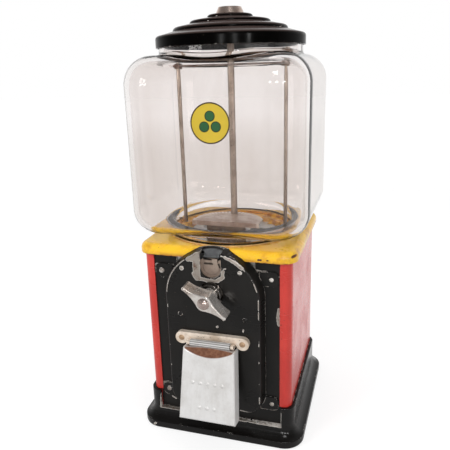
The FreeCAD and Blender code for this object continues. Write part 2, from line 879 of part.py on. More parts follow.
def crown_gear():
    """Ring under the wheel's rim with teeth that point down to the pinion."""
    inner = gear_radius - gear_face / 2
    outer = gear_radius + gear_face / 2
    tip = pitch_height - tooth_addendum
    gear = ring(inner, outer, gear_root, wheel_bottom)
    profile = tooth(gear_tooth_root_width, gear_tooth_tip_width, gear_root + gear_tooth_tip_width, tip)
    single = extrude_y(profile, -outer, -inner).common(ring(inner, outer, tip, wheel_bottom))
    teeth = []
    for number in range(gear_teeth):
        copy = single.copy()
        copy.rotate(Vector(0, 0, 0), Vector(0, 0, 1), 360.0 / gear_teeth * (number + 0.5))
        teeth.append(copy)
    return gear.fuse(teeth).removeSplitter()


def pinion():
    """Small gear on the coin shaft, one tooth up at rest."""
    root = pinion_radius - tooth_dedendum
    tip = pinion_radius + tooth_addendum
    gear = rod_y(root, pinion_front, pinion_back)
    profile = tooth(pinion_tooth_root_width, pinion_tooth_tip_width, root - pinion_tooth_tip_width / 2, tip)
    single = extrude_y(profile, pinion_front, pinion_back).translated(Vector(0, 0, shaft_height))
    for number in range(pinion_teeth):
        copy = single.copy()
        copy.rotate(Vector(0, 0, shaft_height), Vector(0, 1, 0), 360.0 / pinion_teeth * number)
        gear = gear.fuse(copy)
    return gear.cut(rod_y(shaft_radius + running_clearance, pinion_front, pinion_back)).removeSplitter()


def gum_guard():
    """Half-round plate above the drop hole, with a folded front edge and a scalloped rear edge."""
    rise = guard_rear - guard_side
    radius = (guard_half_width ** 2 + rise ** 2) / (2 * rise)
    centre = guard_rear - radius
    sweep = math.asin(guard_half_width / radius)
    step = 2 * sweep / guard_scallops

    def on_arc(angle, reach):
        """Point at an angle from straight back, at a distance from the arc's centre."""
        return (reach * math.sin(angle), centre + reach * math.cos(angle))

    steps = []
    for number in range(guard_scallops):
        start = sweep - step * number
        steps.append((on_arc(start - step / 2, radius + guard_scallop_rise), on_arc(start - step, radius)))
    shape = outline(
        lambda a, b: Vector(a, b, guard_bottom),
        (guard_half_width, guard_front),
        (guard_half_width, guard_side),
        *steps,
        (-guard_half_width, guard_front))
    plate = Part.Face(shape).extrude(Vector(0, 0, guard_sheet))
    fold_depth = (guard_front, guard_front + guard_sheet)
    fold = block((-guard_half_width, guard_half_width), fold_depth, (guard_top - guard_fold, guard_bottom))
    guard = plate.fuse(fold).removeSplitter()
    return guard.cut(rod_z(rod_radius + rod_hole_clearance, guard_bottom, guard_top))


def guard_nut():
    """Nut on the tie rod that carries the guard."""
    hole = rod_radius + rod_hole_clearance
    return hex_nut(rod_nut_flats, hole, guard_bottom - rod_nut_height, guard_bottom)


def sweep_brush():
    """Bristle block behind the guard's fold that wipes balls off the wheel."""
    front = guard_front + guard_sheet
    half = brush_width / 2
    return block((-half, half), (front, front + brush_thickness), (wheel_top + brush_wheel_gap, guard_bottom))


def drop_tube():
    """Tube from the drop hole down to the chute."""
    outer = pocket_radius + drop_tube_wall
    y = -pocket_pitch_radius
    tube = rod_z(outer, drop_tube_bottom, drop_plate_bottom, 0.0, y)
    flange = rod_z(outer + drop_tube_flange, drop_plate_bottom - drop_tube_wall, drop_plate_bottom, 0.0, y)
    flange = flange.common(rod_z(drop_plate_radius, drop_tube_bottom, drop_plate_bottom))
    bore = rod_z(pocket_radius, drop_tube_bottom, drop_plate_bottom, 0.0, y)
    return tube.fuse(flange).cut(bore).removeSplitter()


def flap_inner_y(height):
    """Depth of the flap's inner face at a height, with the flap at rest."""
    lean = math.radians(flap_tilt)
    inner = flap_forward - flap_sheet
    return hinge_y - inner / math.cos(lean) - (hinge_height - height) * math.tan(lean)


def delivery_chute():
    """Sloping trough from under the drop tube to the mouth; its lip stops the flap."""
    lip = flap_inner_y(chute_front_height) + chute_flap_gap
    front_top = chute_front_height + chute_side_height
    rear_top = chute_rear_height + chute_side_height
    side = outline(
        sideways,
        (lip, chute_front_height),
        (chute_rear_y, chute_rear_height),
        (chute_rear_y, rear_top),
        (panel_back + chute_flange, front_top + chute_wall),
        (cover_front, chute_front_height + chute_shoulder_height),
        (lip, chute_front_height + chute_lip_height))
    trough = extrude_x(side, chute_half)
    slope = (chute_rear_height - chute_front_height) / (chute_rear_y - lip)
    floor = chute_wall * math.sqrt(1 + slope ** 2)
    room = outline(
        sideways,
        (lip - cut_overrun, chute_front_height + floor - slope * cut_overrun),
        (chute_rear_y - chute_wall, chute_rear_height + floor - slope * chute_wall),
        (chute_rear_y - chute_wall, rear_top + chute_side_height),
        (lip - cut_overrun, rear_top + chute_side_height))
    trough = trough.cut(extrude_x(room, chute_half - chute_wall))
    flange_half = mouth_width / 2 + chute_flange
    flange_depth = (panel_back, panel_back + chute_wall)
    flange = block((-flange_half, flange_half), flange_depth, (mouth_bottom - chute_flange, front_top))
    opening = block((-chute_half, chute_half), flange_depth, (mouth_bottom - chute_flange / 2, front_top))
    floor_middle = chute_front_height + chute_wall / 2
    under = outline(
        sideways,
        (panel_back, mouth_bottom - chute_flange),
        (panel_back + chute_wall, mouth_bottom - chute_flange),
        (panel_back + chute_wall, floor_middle + slope * (panel_back + chute_wall - lip)),
        (panel_back, floor_middle + slope * (panel_back - lip)))
    flange = flange.cut(opening).fuse(extrude_x(under, flange_half))
    return trough.fuse(flange).removeSplitter()


# Globe
def edges_around(shape, radius, low, high):
    """Edges of a shape that run at a radius about the upright axis, between two heights."""
    found = []
    for edge in shape.Edges:
        distances = [math.hypot(point.x, point.y) for point in edge.discretize(5)]
        level = edge.BoundBox
        if level.ZMin > low and level.ZMax < high and max(abs(d - radius) for d in distances) < 1e-4:
            found.append(edge)
    return found


def globe_solid(inset, foot, neck, joint):
    """Square jar with soft edges, a round foot and a round neck, set in from the outside by an amount."""
    half = globe_width / 2 - inset
    low = globe_bottom + inset
    high = globe_top - inset
    middle = (low + high) / 2
    jar = rounded_block(half, globe_corner - inset, low, high)
    jar = jar.makeFillet(globe_top_round - inset, edges_at(jar, 2, high))
    jar = jar.makeFillet(globe_bottom_round - inset, edges_at(jar, 2, low))
    jar = jar.fuse(rod_z(foot, gasket_top, middle)).fuse(rod_z(neck, middle, globe_neck_top)).removeSplitter()
    foot_edges = edges_around(jar, foot, (gasket_top + globe_bottom) / 2, middle)
    neck_edges = edges_around(jar, neck, middle, (globe_top + globe_neck_top) / 2)
    return jar.makeFillet(joint, foot_edges + neck_edges)


def globe():
    """Glass jar with a round foot and a round neck, open at both ends and rounded where they join it."""
    jar = globe_solid(0.0, globe_foot_radius, globe_neck_radius, globe_joint_round)
    return jar.cut(globe_solid(globe_wall, globe_foot_opening, globe_neck_opening, globe_lip_round))


def globe_gasket():
    """Rubber ring between the deck and the globe's foot."""
    return ring(globe_foot_opening, globe_foot_radius, deck_top, gasket_top)


def lid_gasket():
    """Rubber ring on the globe's neck."""
    return ring(globe_neck_opening, globe_neck_radius, globe_neck_top, lid_gasket_top)


# Lid and lock
def lid_profile(inset):
    """Points and arcs of the lid's stepped outline, set in from its outside by an amount."""
    slant = math.sqrt(0.5)
    bend = lid_rim_round
    rim = lid_radius - inset
    arc_middle = (lid_radius - bend + (bend - inset) * slant, lid_rim_top - bend + (bend - inset) * slant)
    steps = [(rim, lid_rim_top - bend), (arc_middle, (lid_radius - bend, lid_rim_top - inset))]
    for radius, rise, nose in lid_steps:
        foot = lid_rim_top + rise
        steps.append((radius - inset, foot - inset))
        if inset:
            steps.append((radius - inset, foot))
        turn = nose - inset
        steps.append(((radius - nose + turn * slant, foot + turn * slant), (radius - nose, foot + turn)))
    return steps


def lid():
    """Stepped cap with a deep rim, hollow inside, with a hole for the lock."""
    solids = []
    for inset in (0.0, lid_sheet):
        steps = lid_profile(inset)
        top = steps[-1][1][1]
        start = (lid_radius - inset, lid_rim_bottom)
        solids.append(revolve(outline(upright, start, *steps, (0.0, top), (0.0, lid_rim_bottom))))
    return solids[0].cut(solids[1]).cut(rod_z(lid_hole_radius, lid_rim_bottom, lid_top))


def lock_collar():
    """Tapered collar on the lid, with a spigot through the lid's hole."""
    bore = lock_plug_radius + lock_plug_clearance
    spigot = lid_hole_radius - lock_spigot_clearance
    return revolve(outline(
        upright,
        (bore, lid_top - lock_spigot_length),
        (spigot, lid_top - lock_spigot_length),
        (spigot, lid_top),
        (lock_base_radius, lid_top),
        (lock_top_radius, lock_top),
        (bore, lock_top)))


def lock_nut():
    """Ring nut on the collar's spigot, against the underside of the lid."""
    top = lid_top - lid_sheet
    return ring(lid_hole_radius, lock_nut_radius, top - lock_nut_height, top)


def lock_plug():
    """Key barrel that screws onto the tie rod, with a key slot in its face."""
    plug = rod_z(lock_plug_radius, plug_bottom, plug_top)
    plug = plug.cut(rod_z(rod_radius + lock_bore_clearance, plug_bottom, plug_bottom + lock_bore_depth))
    length = key_slot_length / 2
    width = key_slot_width / 2
    slot = block((-width, width), (-length, length), (plug_top - key_slot_depth, plug_top))
    slot = slot.fuse(rod_z(key_post_radius, plug_top - key_slot_depth, plug_top))
    return plug.cut(slot)


# Coin mechanism
def mech_plate():
    """Plate behind the panel that carries the shaft bush, the posts and the pawl."""
    half = mech_plate_half_width
    depth = (panel_back, mech_plate_back)
    plate = block((-half, half), depth, (mech_plate_bottom, mech_plate_top))
    plate = plate.cut(rod_y(bush_radius + running_clearance, *depth))
    plate = plate.cut(rod_y(pawl_pin_radius + rivet_clearance, *depth, *pawl_pivot))
    outlet = (coin_outlet_left, coin_outlet_right)
    return plate.cut(block(outlet, depth, (coin_outlet_bottom, coin_outlet_top)))


def mech_posts():
    """Posts between the mechanism plate and the cover."""
    posts = []
    for x, z in cover_rivet_places():
        post = rod_y(mech_post_radius, cover_inside, panel_back, x, z)
        hole = rod_y(cover_rivet_radius + rivet_clearance, cover_inside, cover_front + cover_rivet_length, x, z)
        posts.append(post.cut(hole))
    return Part.makeCompound(posts)


def shaft_bush():
    """Long flanged bush in the mechanism plate."""
    bush = rod_y(bush_radius, panel_back, panel_back + bush_length)
    bush = bush.fuse(rod_y(bush_flange_radius, mech_plate_back, mech_plate_back + bush_flange))
    return bush.cut(rod_y(shaft_radius + running_clearance, panel_back, panel_back + bush_length))


def shaft_collar():
    """Plated collar round the shaft on the face of the cover."""
    face = cover_front - shaft_collar_length
    collar = rod_y(shaft_collar_radius, face, cover_front)
    collar = collar.makeFillet(shaft_collar_round, edges_at(collar, 1, face))
    flange = rod_y(shaft_collar_flange_radius, cover_front - shaft_collar_flange, cover_front)
    seat = rod_y(shaft_collar_seat_radius, cover_front, cover_inside)
    collar = collar.fuse(flange).fuse(seat)
    return collar.cut(rod_y(shaft_radius + running_clearance, face, cover_inside)).removeSplitter()


def coin_shaft():
    """Shaft from the handle back to the pinion."""
    return rod_y(shaft_radius, shaft_front, pinion_back)


def coin_carrier():
    """Disc behind the cover with a coin-sized recess that is open at its rim, a ring, a slit and a stop."""
    disc = rod_y(carrier_radius, carrier_front, carrier_back)
    floor = carrier_front + coin_recess_depth
    recess = rod_y(coin_radius, carrier_front, floor, 0.0, coin_height)
    rim = shaft_height + carrier_radius
    recess = recess.fuse(block((-coin_radius, coin_radius), (carrier_front, floor), (coin_height, rim)))
    disc = disc.cut(recess).cut(rod_y(shaft_radius + running_clearance, carrier_front, carrier_back))
    ring_radius = coin_radius - coin_ring_inset
    groove = rod_y(ring_radius, floor, floor + coin_ring_depth, 0.0, coin_height)
    groove = groove.cut(rod_y(ring_radius - coin_ring_width, floor, floor + coin_ring_depth, 0.0, coin_height))
    slit_low = coin_height + coin_slit_rise
    slit_half = coin_slit_width / 2
    slit = block((-slit_half, slit_half), (floor, carrier_back), (slit_low, slit_low + coin_slit_height))
    disc = disc.cut(groove).cut(slit)
    stop_span = (coin_stop_side - coin_stop_width / 2, coin_stop_side + coin_stop_width / 2)
    stop_top = slit_low + coin_slit_height
    stop_depth = (floor - coin_stop_thickness, carrier_back)
    stop = block(stop_span, stop_depth, (stop_top - coin_stop_height, stop_top))
    return disc.fuse(stop).removeSplitter()


def coin_entry():
    """Sloping guide under the arch, behind the coin slot, tapered to its foot and notched at both sides."""
    top_half = entry_top_width / 2
    foot_half = entry_bottom_width / 2
    slope = outline(
        sideways,
        (panel_front, entry_bottom),
        (panel_front, entry_top),
        (slot_back, entry_top),
        (entry_front, entry_bottom))
    taper = outline(
        upright,
        (-foot_half, entry_bottom),
        (foot_half, entry_bottom),
        (top_half, entry_top),
        (-top_half, entry_top))
    guide = extrude_x(slope, top_half).common(extrude_y(taper, entry_front, panel_front))
    guide = guide.common(cover_body(cover_sheet + entry_arch_gap, entry_front, panel_front))
    for side in (-1, 1):
        x = side * entry_notch_spacing / 2
        guide = guide.cut(rod_y(entry_notch_radius, entry_front, panel_front, x, entry_bottom + entry_notch_rise))
    return guide.removeSplitter()


def ratchet_wheel():
    """Toothed disc that lets the shaft turn one way."""
    step = 2 * math.pi / ratchet_teeth
    root = ratchet_radius - ratchet_depth
    points = []
    for number in range(ratchet_teeth):
        angle = step * number
        points.append((ratchet_radius * math.sin(angle), shaft_height + ratchet_radius * math.cos(angle)))
        points.append((root * math.sin(angle), shaft_height + root * math.cos(angle)))
    disc = extrude_y(outline(upright, *points), ratchet_front, ratchet_back)
    return disc.cut(rod_y(shaft_radius + running_clearance, ratchet_front, ratchet_back))


def pawl():
    """Pointed lever beside the ratchet, its tip just clear of the teeth."""
    x, z = pawl_pivot
    reach = ratchet_radius + pawl_tip_gap
    angle = math.radians(pawl_tip_angle)
    tip = (reach * math.cos(angle), shaft_height + reach * math.sin(angle))
    arm = outline(upright, tip, (x, z - pawl_eye_radius), (x, z + pawl_eye_radius))
    lever = extrude_y(arm, ratchet_front, ratchet_back)
    lever = lever.fuse(rod_y(pawl_eye_radius, ratchet_front, ratchet_back, x, z))
    hole = rod_y(pawl_pin_radius + running_clearance, ratchet_front, ratchet_back, x, z)
    return lever.cut(hole).removeSplitter()


def pawl_pin():
    """Pivot of the pawl."""
    return rod_y(pawl_pin_radius, ratchet_front - pawl_pin_stub, mech_plate_back, *pawl_pivot)


def pawl_spring():
    """Torsion spring on the pawl's pivot, as a sleeve."""
    inner = pawl_pin_radius + running_clearance
    front = ratchet_back + spring_end_gap
    sleeve = rod_y(inner + spring_wall, front, panel_back, *pawl_pivot)
    return sleeve.cut(rod_y(inner, front, panel_back, *pawl_pivot))


# Handle
def wing_outline():
    """Round boss with two wings that run off it in smooth hollow curves to narrow round tips."""
    blend = math.radians(wing_blend_angle)
    root = (handle_boss_radius * math.cos(blend), handle_boss_radius * math.sin(blend))
    tip = handle_span / 2 - wing_tip_radius
    run = tip - root[0]
    fall = root[1] - wing_tip_radius
    bow = math.hypot(run, fall) / 2 * math.tan((math.pi / 2 - blend - math.atan2(fall, run)) / 2)
    slant = math.atan2(fall, run)
    middle = ((root[0] + tip) / 2 - bow * math.sin(slant), (root[1] + wing_tip_radius) / 2 - bow * math.cos(slant))

    def spot(point, x_side, z_side):
        """A point carried to one quarter of the handle."""
        return (x_side * point[0], z_side * point[1])

    end = (tip, wing_tip_radius)
    nose = (tip + wing_tip_radius, 0.0)
    return outline(
        upright,
        root,
        (middle, end),
        (nose, spot(end, 1, -1)),
        (spot(middle, 1, -1), spot(root, 1, -1)),
        ((0.0, -handle_boss_radius), spot(root, -1, -1)),
        (spot(middle, -1, -1), spot(end, -1, -1)),
        (spot(nose, -1, 1), spot(end, -1, 1)),
        (spot(middle, -1, 1), spot(root, -1, 1)),
        ((0.0, handle_boss_radius), root))


def handle():
    """Two-winged handle, tilted as it is left at rest."""
    wing_back = handle_front + wing_depth
    grip = extrude_y(wing_outline(), handle_front, wing_back)
    grip = grip.makeFillet(wing_edge_round, edges_at(grip, 1, handle_front))
    grip = grip.translated(Vector(0, 0, shaft_height))
    grip = grip.fuse(rod_y(handle_boss_radius, wing_back, handle_back)).removeSplitter()
    grip = grip.cut(rod_y(shaft_radius + running_clearance, shaft_front, handle_back))
    grip.rotate(Vector(0, 0, shaft_height), Vector(0, 1, 0), handle_angle)
    return grip


def handle_cap():
    """Domed cap on the handle's boss."""
    return dome_y(cap_radius, cap_rise, handle_front, 0.0, shaft_height)


# Flap and hinge
def flap_scoop(grow):
    """Big slanting cylinder that hollows the flap's top edge, its radius grown by an amount."""
    top = hinge_height - flap_top_drop
    slope = math.atan2(flap_scoop_fall, flap_forward - flap_scoop_start)
    along = Vector(0, -math.cos(slope), -math.sin(slope))
    across = Vector(0, -math.sin(slope), math.cos(slope))
    low_point = Vector(0, hinge_y - flap_scoop_start, top)
    start = low_point + across * flap_scoop_radius - along * flap_scoop_radius
    return Part.makeCylinder(flap_scoop_radius + grow, 2 * flap_scoop_radius, start, along)


def flap():
    """Box-shaped delivery flap with a hollowed top edge, a rolled hinge barrel and rows of small dimples."""
    front = hinge_y - flap_forward
    inner = front + flap_sheet
    back = front + flap_depth
    top = hinge_height - flap_top_drop
    bottom = mouth_bottom - flap_overlap
    top_half = flap_top_width / 2
    bottom_half = flap_bottom_width / 2
    shape = outline(upright, (-top_half, top), (-bottom_half, bottom), (bottom_half, bottom), (top_half, top))
    pan = extrude_y(shape, front, back)
    pan = pan.makeFillet(flap_edge_round, edges_at(pan, 1, front)).cut(flap_scoop(0.0))
    room_top = top - flap_sheet
    room_bottom = bottom - flap_sheet
    room = outline(
        upright,
        (-top_half + flap_sheet, room_top),
        (-bottom_half + flap_sheet, room_bottom),
        (bottom_half - flap_sheet, room_bottom),
        (top_half - flap_sheet, room_top))
    pan = pan.cut(extrude_y(room, inner, back).cut(flap_scoop(flap_sheet)))
    gap_half = top_half - flap_sheet
    pan = pan.cut(block((-gap_half, gap_half), (hinge_y + flap_top_reach, back), (room_top, top)))
    barrel_half = flap_barrel_length / 2
    door = pan.fuse(rod_x(flap_barrel_radius, barrel_half, hinge_y, hinge_height))
    for rise, count in zip(flap_dimple_rises, flap_dimple_counts):
        for number in range(count):
            x = flap_dimple_spacing * (number - (count - 1) / 2)
            door = door.fuse(dome_y(flap_dimple_radius, flap_dimple_height, front, x, bottom + rise))
    door = door.cut(rod_x(hinge_pin_radius + running_clearance, barrel_half, hinge_y, hinge_height))
    door = door.removeSplitter()
    door.rotate(Vector(0, hinge_y, hinge_height), Vector(-1, 0, 0), flap_tilt)
    return door


def hinge_bracket():
    """Dog-bone bracket on the cover, with two ears for the hinge pin."""
    reach = bracket_screw_spacing / 2
    depth = (bracket_front, cover_front)
    body = block((-reach, reach), depth, (bracket_top - bracket_bar_height, bracket_top))
    inner = flap_barrel_length / 2 + bracket_ear_gap
    outer = inner + bracket_ear_width
    for side in (-1, 1):
        body = body.fuse(rod_y(bracket_lobe_radius, *depth, side * reach, bracket_screw_height))
        span = sorted((side * inner, side * outer))
        ear_bottom = hinge_height - bracket_ear_radius
        body = body.fuse(block(span, (hinge_y, cover_front), (ear_bottom, hinge_height)))
        body = body.fuse(block(span, depth, (ear_bottom, bracket_top)))
        ear = Part.makeCylinder(bracket_ear_radius, bracket_ear_width, Vector(span[0], hinge_y, hinge_height),
                                Vector(1, 0, 0))
        body = body.fuse(ear)
    hole = bracket_screw_radius + bracket_screw_clearance
    for side in (-1, 1):
        body = body.cut(rod_y(hole, *depth, side * reach, bracket_screw_height))
    body = body.cut(rod_x(hinge_pin_radius + running_clearance, outer, hinge_y, hinge_height))
    return body.removeSplitter()


def hinge_pin():
    """Pin through the bracket's ears and the flap's barrel."""
    half = flap_barrel_length / 2 + bracket_ear_gap + bracket_ear_width
    return rod_x(hinge_pin_radius, half, hinge_y, hinge_height)


def bracket_screws():
    """Two slotted round-head screws through the bracket and the cover."""
    x = bracket_screw_spacing / 2
    length = bracket_thickness + cover_sheet + bracket_screw_tail
    size = (bracket_screw_radius, bracket_screw_head, bracket_screw_rise, bracket_front, length)
    screw = rivet_y(*size, x, bracket_screw_height)
    half_slot = bracket_screw_slot / 2
    slot_depth = (bracket_front - bracket_screw_rise, bracket_front - bracket_screw_rise / 2)
    slot_height = (bracket_screw_height - half_slot, bracket_screw_height + half_slot)
    screw = screw.cut(block((x - bracket_screw_head, x + bracket_screw_head), slot_depth, slot_height))
    return both_sides(screw)


PIECES = {
    "base_skirt": base_skirt,
    "base_plate": base_plate,
    "base_screws": base_screws,
    "cash_tray": cash_tray,
    "cabinet_shell": cabinet_shell,
    "front_panel": front_panel,
    "mech_cover": mech_cover,
    "panel_rivets": panel_rivets,
    "cover_rivets": cover_rivets,
    "deck": deck,
    "hopper_bowl": hopper_bowl,
    "hopper_bridge": hopper_bridge,
    "centre_post": centre_post,
    "centre_rod": centre_rod,
    "bridge_nut": bridge_nut,
    "side_rod_left": lambda: side_rod(-1),
    "side_rod_right": lambda: side_rod(1),
    "crossbar": crossbar,
    "side_rod_nuts": side_rod_nuts,
    "drop_plate": drop_plate,
    "thrust_washer": thrust_washer,
    "gum_wheel": gum_wheel,
    "crown_gear": crown_gear,
    "pinion": pinion,
    "gum_guard": gum_guard,
    "guard_nut": guard_nut,
    "sweep_brush": sweep_brush,
    "drop_tube": drop_tube,
    "delivery_chute": delivery_chute,
    "globe": globe,
    "globe_gasket": globe_gasket,
    "lid_gasket": lid_gasket,
    "lid": lid,
    "lock_collar": lock_collar,
    "lock_nut": lock_nut,
    "lock_plug": lock_plug,
    "mech_plate": mech_plate,
    "mech_posts": mech_posts,
    "shaft_bush": shaft_bush,
    "shaft_collar": shaft_collar,
    "coin_shaft": coin_shaft,
    "coin_carrier": coin_carrier,
    "coin_entry": coin_entry,
    "ratchet_wheel": ratchet_wheel,
    "pawl": pawl,
    "pawl_pin": pawl_pin,
    "pawl_spring": pawl_spring,
    "handle": handle,
    "handle_cap": handle_cap,
    "flap": flap,
    "hinge_bracket": hinge_bracket,
    "hinge_pin": hinge_pin,
    "bracket_screws": bracket_screws,
}

os.makedirs("parts", exist_ok=True)
for name, make in PIECES.items():
    make().exportStep("parts/" + name + ".step")
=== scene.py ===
"""Looks of the countertop gumball machine: worn enamel, plating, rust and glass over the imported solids.

Sizes are in metres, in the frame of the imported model: +Z is up and the front faces -Y.
"""

import math
import random

import bmesh
import bpy
from mathutils import Matrix, Vector


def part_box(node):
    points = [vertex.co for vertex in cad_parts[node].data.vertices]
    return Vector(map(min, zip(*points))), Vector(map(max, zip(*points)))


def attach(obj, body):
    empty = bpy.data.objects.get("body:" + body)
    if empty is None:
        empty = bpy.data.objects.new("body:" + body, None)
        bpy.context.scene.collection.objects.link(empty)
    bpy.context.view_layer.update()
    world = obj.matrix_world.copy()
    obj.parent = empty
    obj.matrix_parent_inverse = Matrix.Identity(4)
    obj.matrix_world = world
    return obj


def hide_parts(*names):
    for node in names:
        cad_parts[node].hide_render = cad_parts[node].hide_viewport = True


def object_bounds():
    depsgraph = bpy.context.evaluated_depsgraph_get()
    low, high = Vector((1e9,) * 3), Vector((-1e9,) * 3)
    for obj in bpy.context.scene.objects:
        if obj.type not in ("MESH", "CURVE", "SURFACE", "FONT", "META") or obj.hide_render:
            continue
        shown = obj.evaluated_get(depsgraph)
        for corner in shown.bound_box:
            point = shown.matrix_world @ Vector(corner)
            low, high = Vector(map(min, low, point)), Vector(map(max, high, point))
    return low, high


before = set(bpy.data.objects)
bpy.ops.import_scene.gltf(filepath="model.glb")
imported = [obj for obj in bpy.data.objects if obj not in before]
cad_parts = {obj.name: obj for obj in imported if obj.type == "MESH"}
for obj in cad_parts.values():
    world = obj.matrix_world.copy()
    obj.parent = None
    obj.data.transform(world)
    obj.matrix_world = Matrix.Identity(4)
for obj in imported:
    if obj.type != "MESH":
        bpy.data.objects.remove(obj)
cad_low, cad_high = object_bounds()

# Camera of the photograph
camera_azimuth = math.radians(17.1)
camera_elevation = math.radians(16.85)
camera_roll = math.radians(1.73)
camera_distance = 0.5239
camera_aim_side = -0.01021
camera_aim_height = 0.1946
camera_lens = 41.13
camera_sensor = 36.0
camera_near = 0.01

# Studio: each pair of levels holds at the ends of the reach, turn or rise that follows it
floor_half = 6.0
floor_drop = 0.0003
floor_colour = (0.36, 0.36, 0.36, 1.0)
floor_glow = (0.70, 0.85)
floor_glow_reach = (0.5, 2.5)
floor_through = (0.50, 0.83)
floor_through_reach = (0.0, 4.0)
floor_through_colour = (1.0, 0.955, 0.905, 1.0)
floor_mirror = (0.35, 0.80)
floor_mirror_reach = (-0.05, 0.15)
ambient = 0.50
mirror_level = (0.38, 0.95)
mirror_turn = (-0.20, 0.50)
mirror_overhead = (1.0, 0.50)
mirror_rise = (0.25, 0.70)

# Lamps, which all face one point on the machine
lamp_aim = (0.0, 0.0, 0.2)
key_place = (-1.1, -1.2, 0.75)
key_size = 0.7
key_power = 15.0
fill_place = (1.4, -0.9, 0.6)
fill_size = 1.2
fill_power = 9.0
top_place = (0.1, 0.2, 1.6)
top_size = 1.0
top_power = 6.0
glint_place = (0.45, -1.25, 1.35)
glint_size = 0.3
glint_power = 6.0
strip_power = 2.4
strip_size = 0.1
strip_distance = 1.45
strip_height = 0.50
strip_turns = (3.0, 22.0, 42.0)

# Round label on the globe
label_side = 0.0045
label_height = 0.3050
label_radius = 0.01675
label_border = 0.0011
border_lengths = 48
disc_steps = 96
label_film = 0.00006
label_layer = 0.00004
ball_radius = 0.0044
ball_outline = 0.0008
ball_ring = 0.0057
ball_count = 3

# Sweep brush under the guard
bristle_rows = 5
bristle_columns = 46
bristle_width = 0.00055
bristle_strip = 0.003
bristle_spread = 0.0006
bristle_seed = 7

# Colours, as linear red, green and blue
WHITE = (1.0, 1.0, 1.0, 1.0)
BLACK = (0.0075, 0.0068, 0.0062, 1.0)
BLACK_DULL = (0.0120, 0.0108, 0.0098, 1.0)
BASE_BLACK = (0.0034, 0.0029, 0.0026, 1.0)
BASE_DULL = (0.0060, 0.0052, 0.0046, 1.0)
LID_BLACK = (0.0006, 0.0006, 0.0006, 1.0)
LID_DULL = (0.0014, 0.0012, 0.0011, 1.0)
# Paler tone of the lid's upward faces: partly dusty, partly painted reflection of the room
LID_DUST_AND_REFLECTION = (0.0560, 0.0390, 0.0350, 1.0)
LID_INSIDE = (0.3000, 0.2050, 0.1550, 1.0)
RED = (0.620, 0.045, 0.033, 1.0)
RED_DARK = (0.520, 0.032, 0.024, 1.0)
YELLOW = (0.930, 0.580, 0.026, 1.0)
YELLOW_DARK = (0.880, 0.455, 0.018, 1.0)
BARE_METAL = (0.370, 0.330, 0.290, 1.0)
CHIP_EDGE = (0.660, 0.620, 0.580, 1.0)
RUST = (0.130, 0.048, 0.022, 1.0)
RUST_LIGHT = (0.210, 0.090, 0.047, 1.0)
# Darker orange on the deck: at the skirt's foot, its outer edges and round the gasket
DARK_ORANGE = (0.500, 0.190, 0.018, 1.0)
# Painted highlight colour for the bright spots along the gum guard's edge
GLINT_COLOUR = (0.780, 0.720, 0.660, 1.0)
# Dark colour of dirt, pits and specks, and of the painted shade in the coin slit
DIRT_AND_SHADE = (0.045, 0.034, 0.026, 1.0)
TIN = (0.500, 0.410, 0.350, 1.0)
TIN_DARK = (0.320, 0.230, 0.180, 1.0)
GLASS = (0.930, 0.900, 0.890, 1.0)
GLASS_SMEARED = (0.870, 0.825, 0.805, 1.0)
GLASS_EDGE = (0.560, 0.500, 0.450, 1.0)

# Patterns, in cells to the metre, or to the metre along each axis
paint_clouds = 26.0
paint_grain = 900.0
paint_specks = 430.0
chip_clusters = 17.0
chip_cells = 190.0
edge_chips = 95.0
tarnish_clouds = 48.0
metal_streaks = 260.0
metal_pits = 520.0
rust_cells = 75.0
rust_tones = 330.0
glass_waves = 22.0
glass_smears = (14.0, 14.0, 5.0)
stroke_cells = 320.0
cover_highlight_breaks = 70.0
notch_breaks = 120.0
darker_orange_patches = 38.0
darker_orange_cells = 110.0
head_cells = 60.0

# Reliefs, as a strength and a depth
paint_relief = (0.45, 0.00015)
metal_relief = (0.30, 0.00012)
glass_relief = (0.12, 0.0006)
soft_relief = (0.25, 0.0001)

# Width of a worn edge, and how strongly the glass bends light
worn_edge = 0.0011
glass_ior = 1.36


def add(tree, kind, inputs=None, **settings):
    """New shader node, with its settings and its inputs: each a number, a colour or another node's output."""
    made = tree.nodes.new("ShaderNode" + kind)
    for key, value in settings.items():
        setattr(made, key, value)
    for key, value in (inputs or {}).items():
        if isinstance(value, bpy.types.NodeSocket):
            tree.links.new(value, made.inputs[key])
        else:
            made.inputs[key].default_value = value
    return made


def calc(tree, operation, first, second=0.0):
    """Result of one sum on two numbers."""
    return add(tree, "Math", {0: first, 1: second}, operation=operation).outputs[0]


def fade(tree, value, low, high, start=0.0, end=1.0):
    """Smooth step from start to end while a value goes from low to high."""
    limits = {"Value": value, "From Min": low, "From Max": high, "To Min": start, "To Max": end}
    return add(tree, "MapRange", limits, interpolation_type="SMOOTHSTEP").outputs[0]


def mix(tree, share, first, second):
    """Colour between two colours."""
    return add(tree, "Mix", {0: share, 6: first, 7: second}, data_type="RGBA").outputs[2]


def blend(tree, share, first, second):
    """Number between two numbers."""
    return add(tree, "Mix", {0: share, 2: first, 3: second}, data_type="FLOAT").outputs[0]


def noise(tree, place, scale, detail=5.0, roughness=0.55):
    """Cloudy pattern with so many cells to the metre."""
    inputs = {"Vector": place, "Scale": scale, "Detail": detail, "Roughness": roughness}
    return add(tree, "TexNoise", inputs).outputs[0]


def stretched(tree, place, scales):
    """Place scaled by its own amount along each axis, for streaks and scratches."""
    return add(tree, "Mapping", {"Vector": place, "Scale": scales}).outputs[0]


def coordinate(tree, place, axis):
    """Side, depth or height of a place."""
    return add(tree, "SeparateXYZ", {0: place}).outputs[axis]


def seen_from(tree, place, origin):
    """Place measured from another origin."""
    return add(tree, "VectorMath", {0: place, 1: origin}, operation="SUBTRACT").outputs[0]


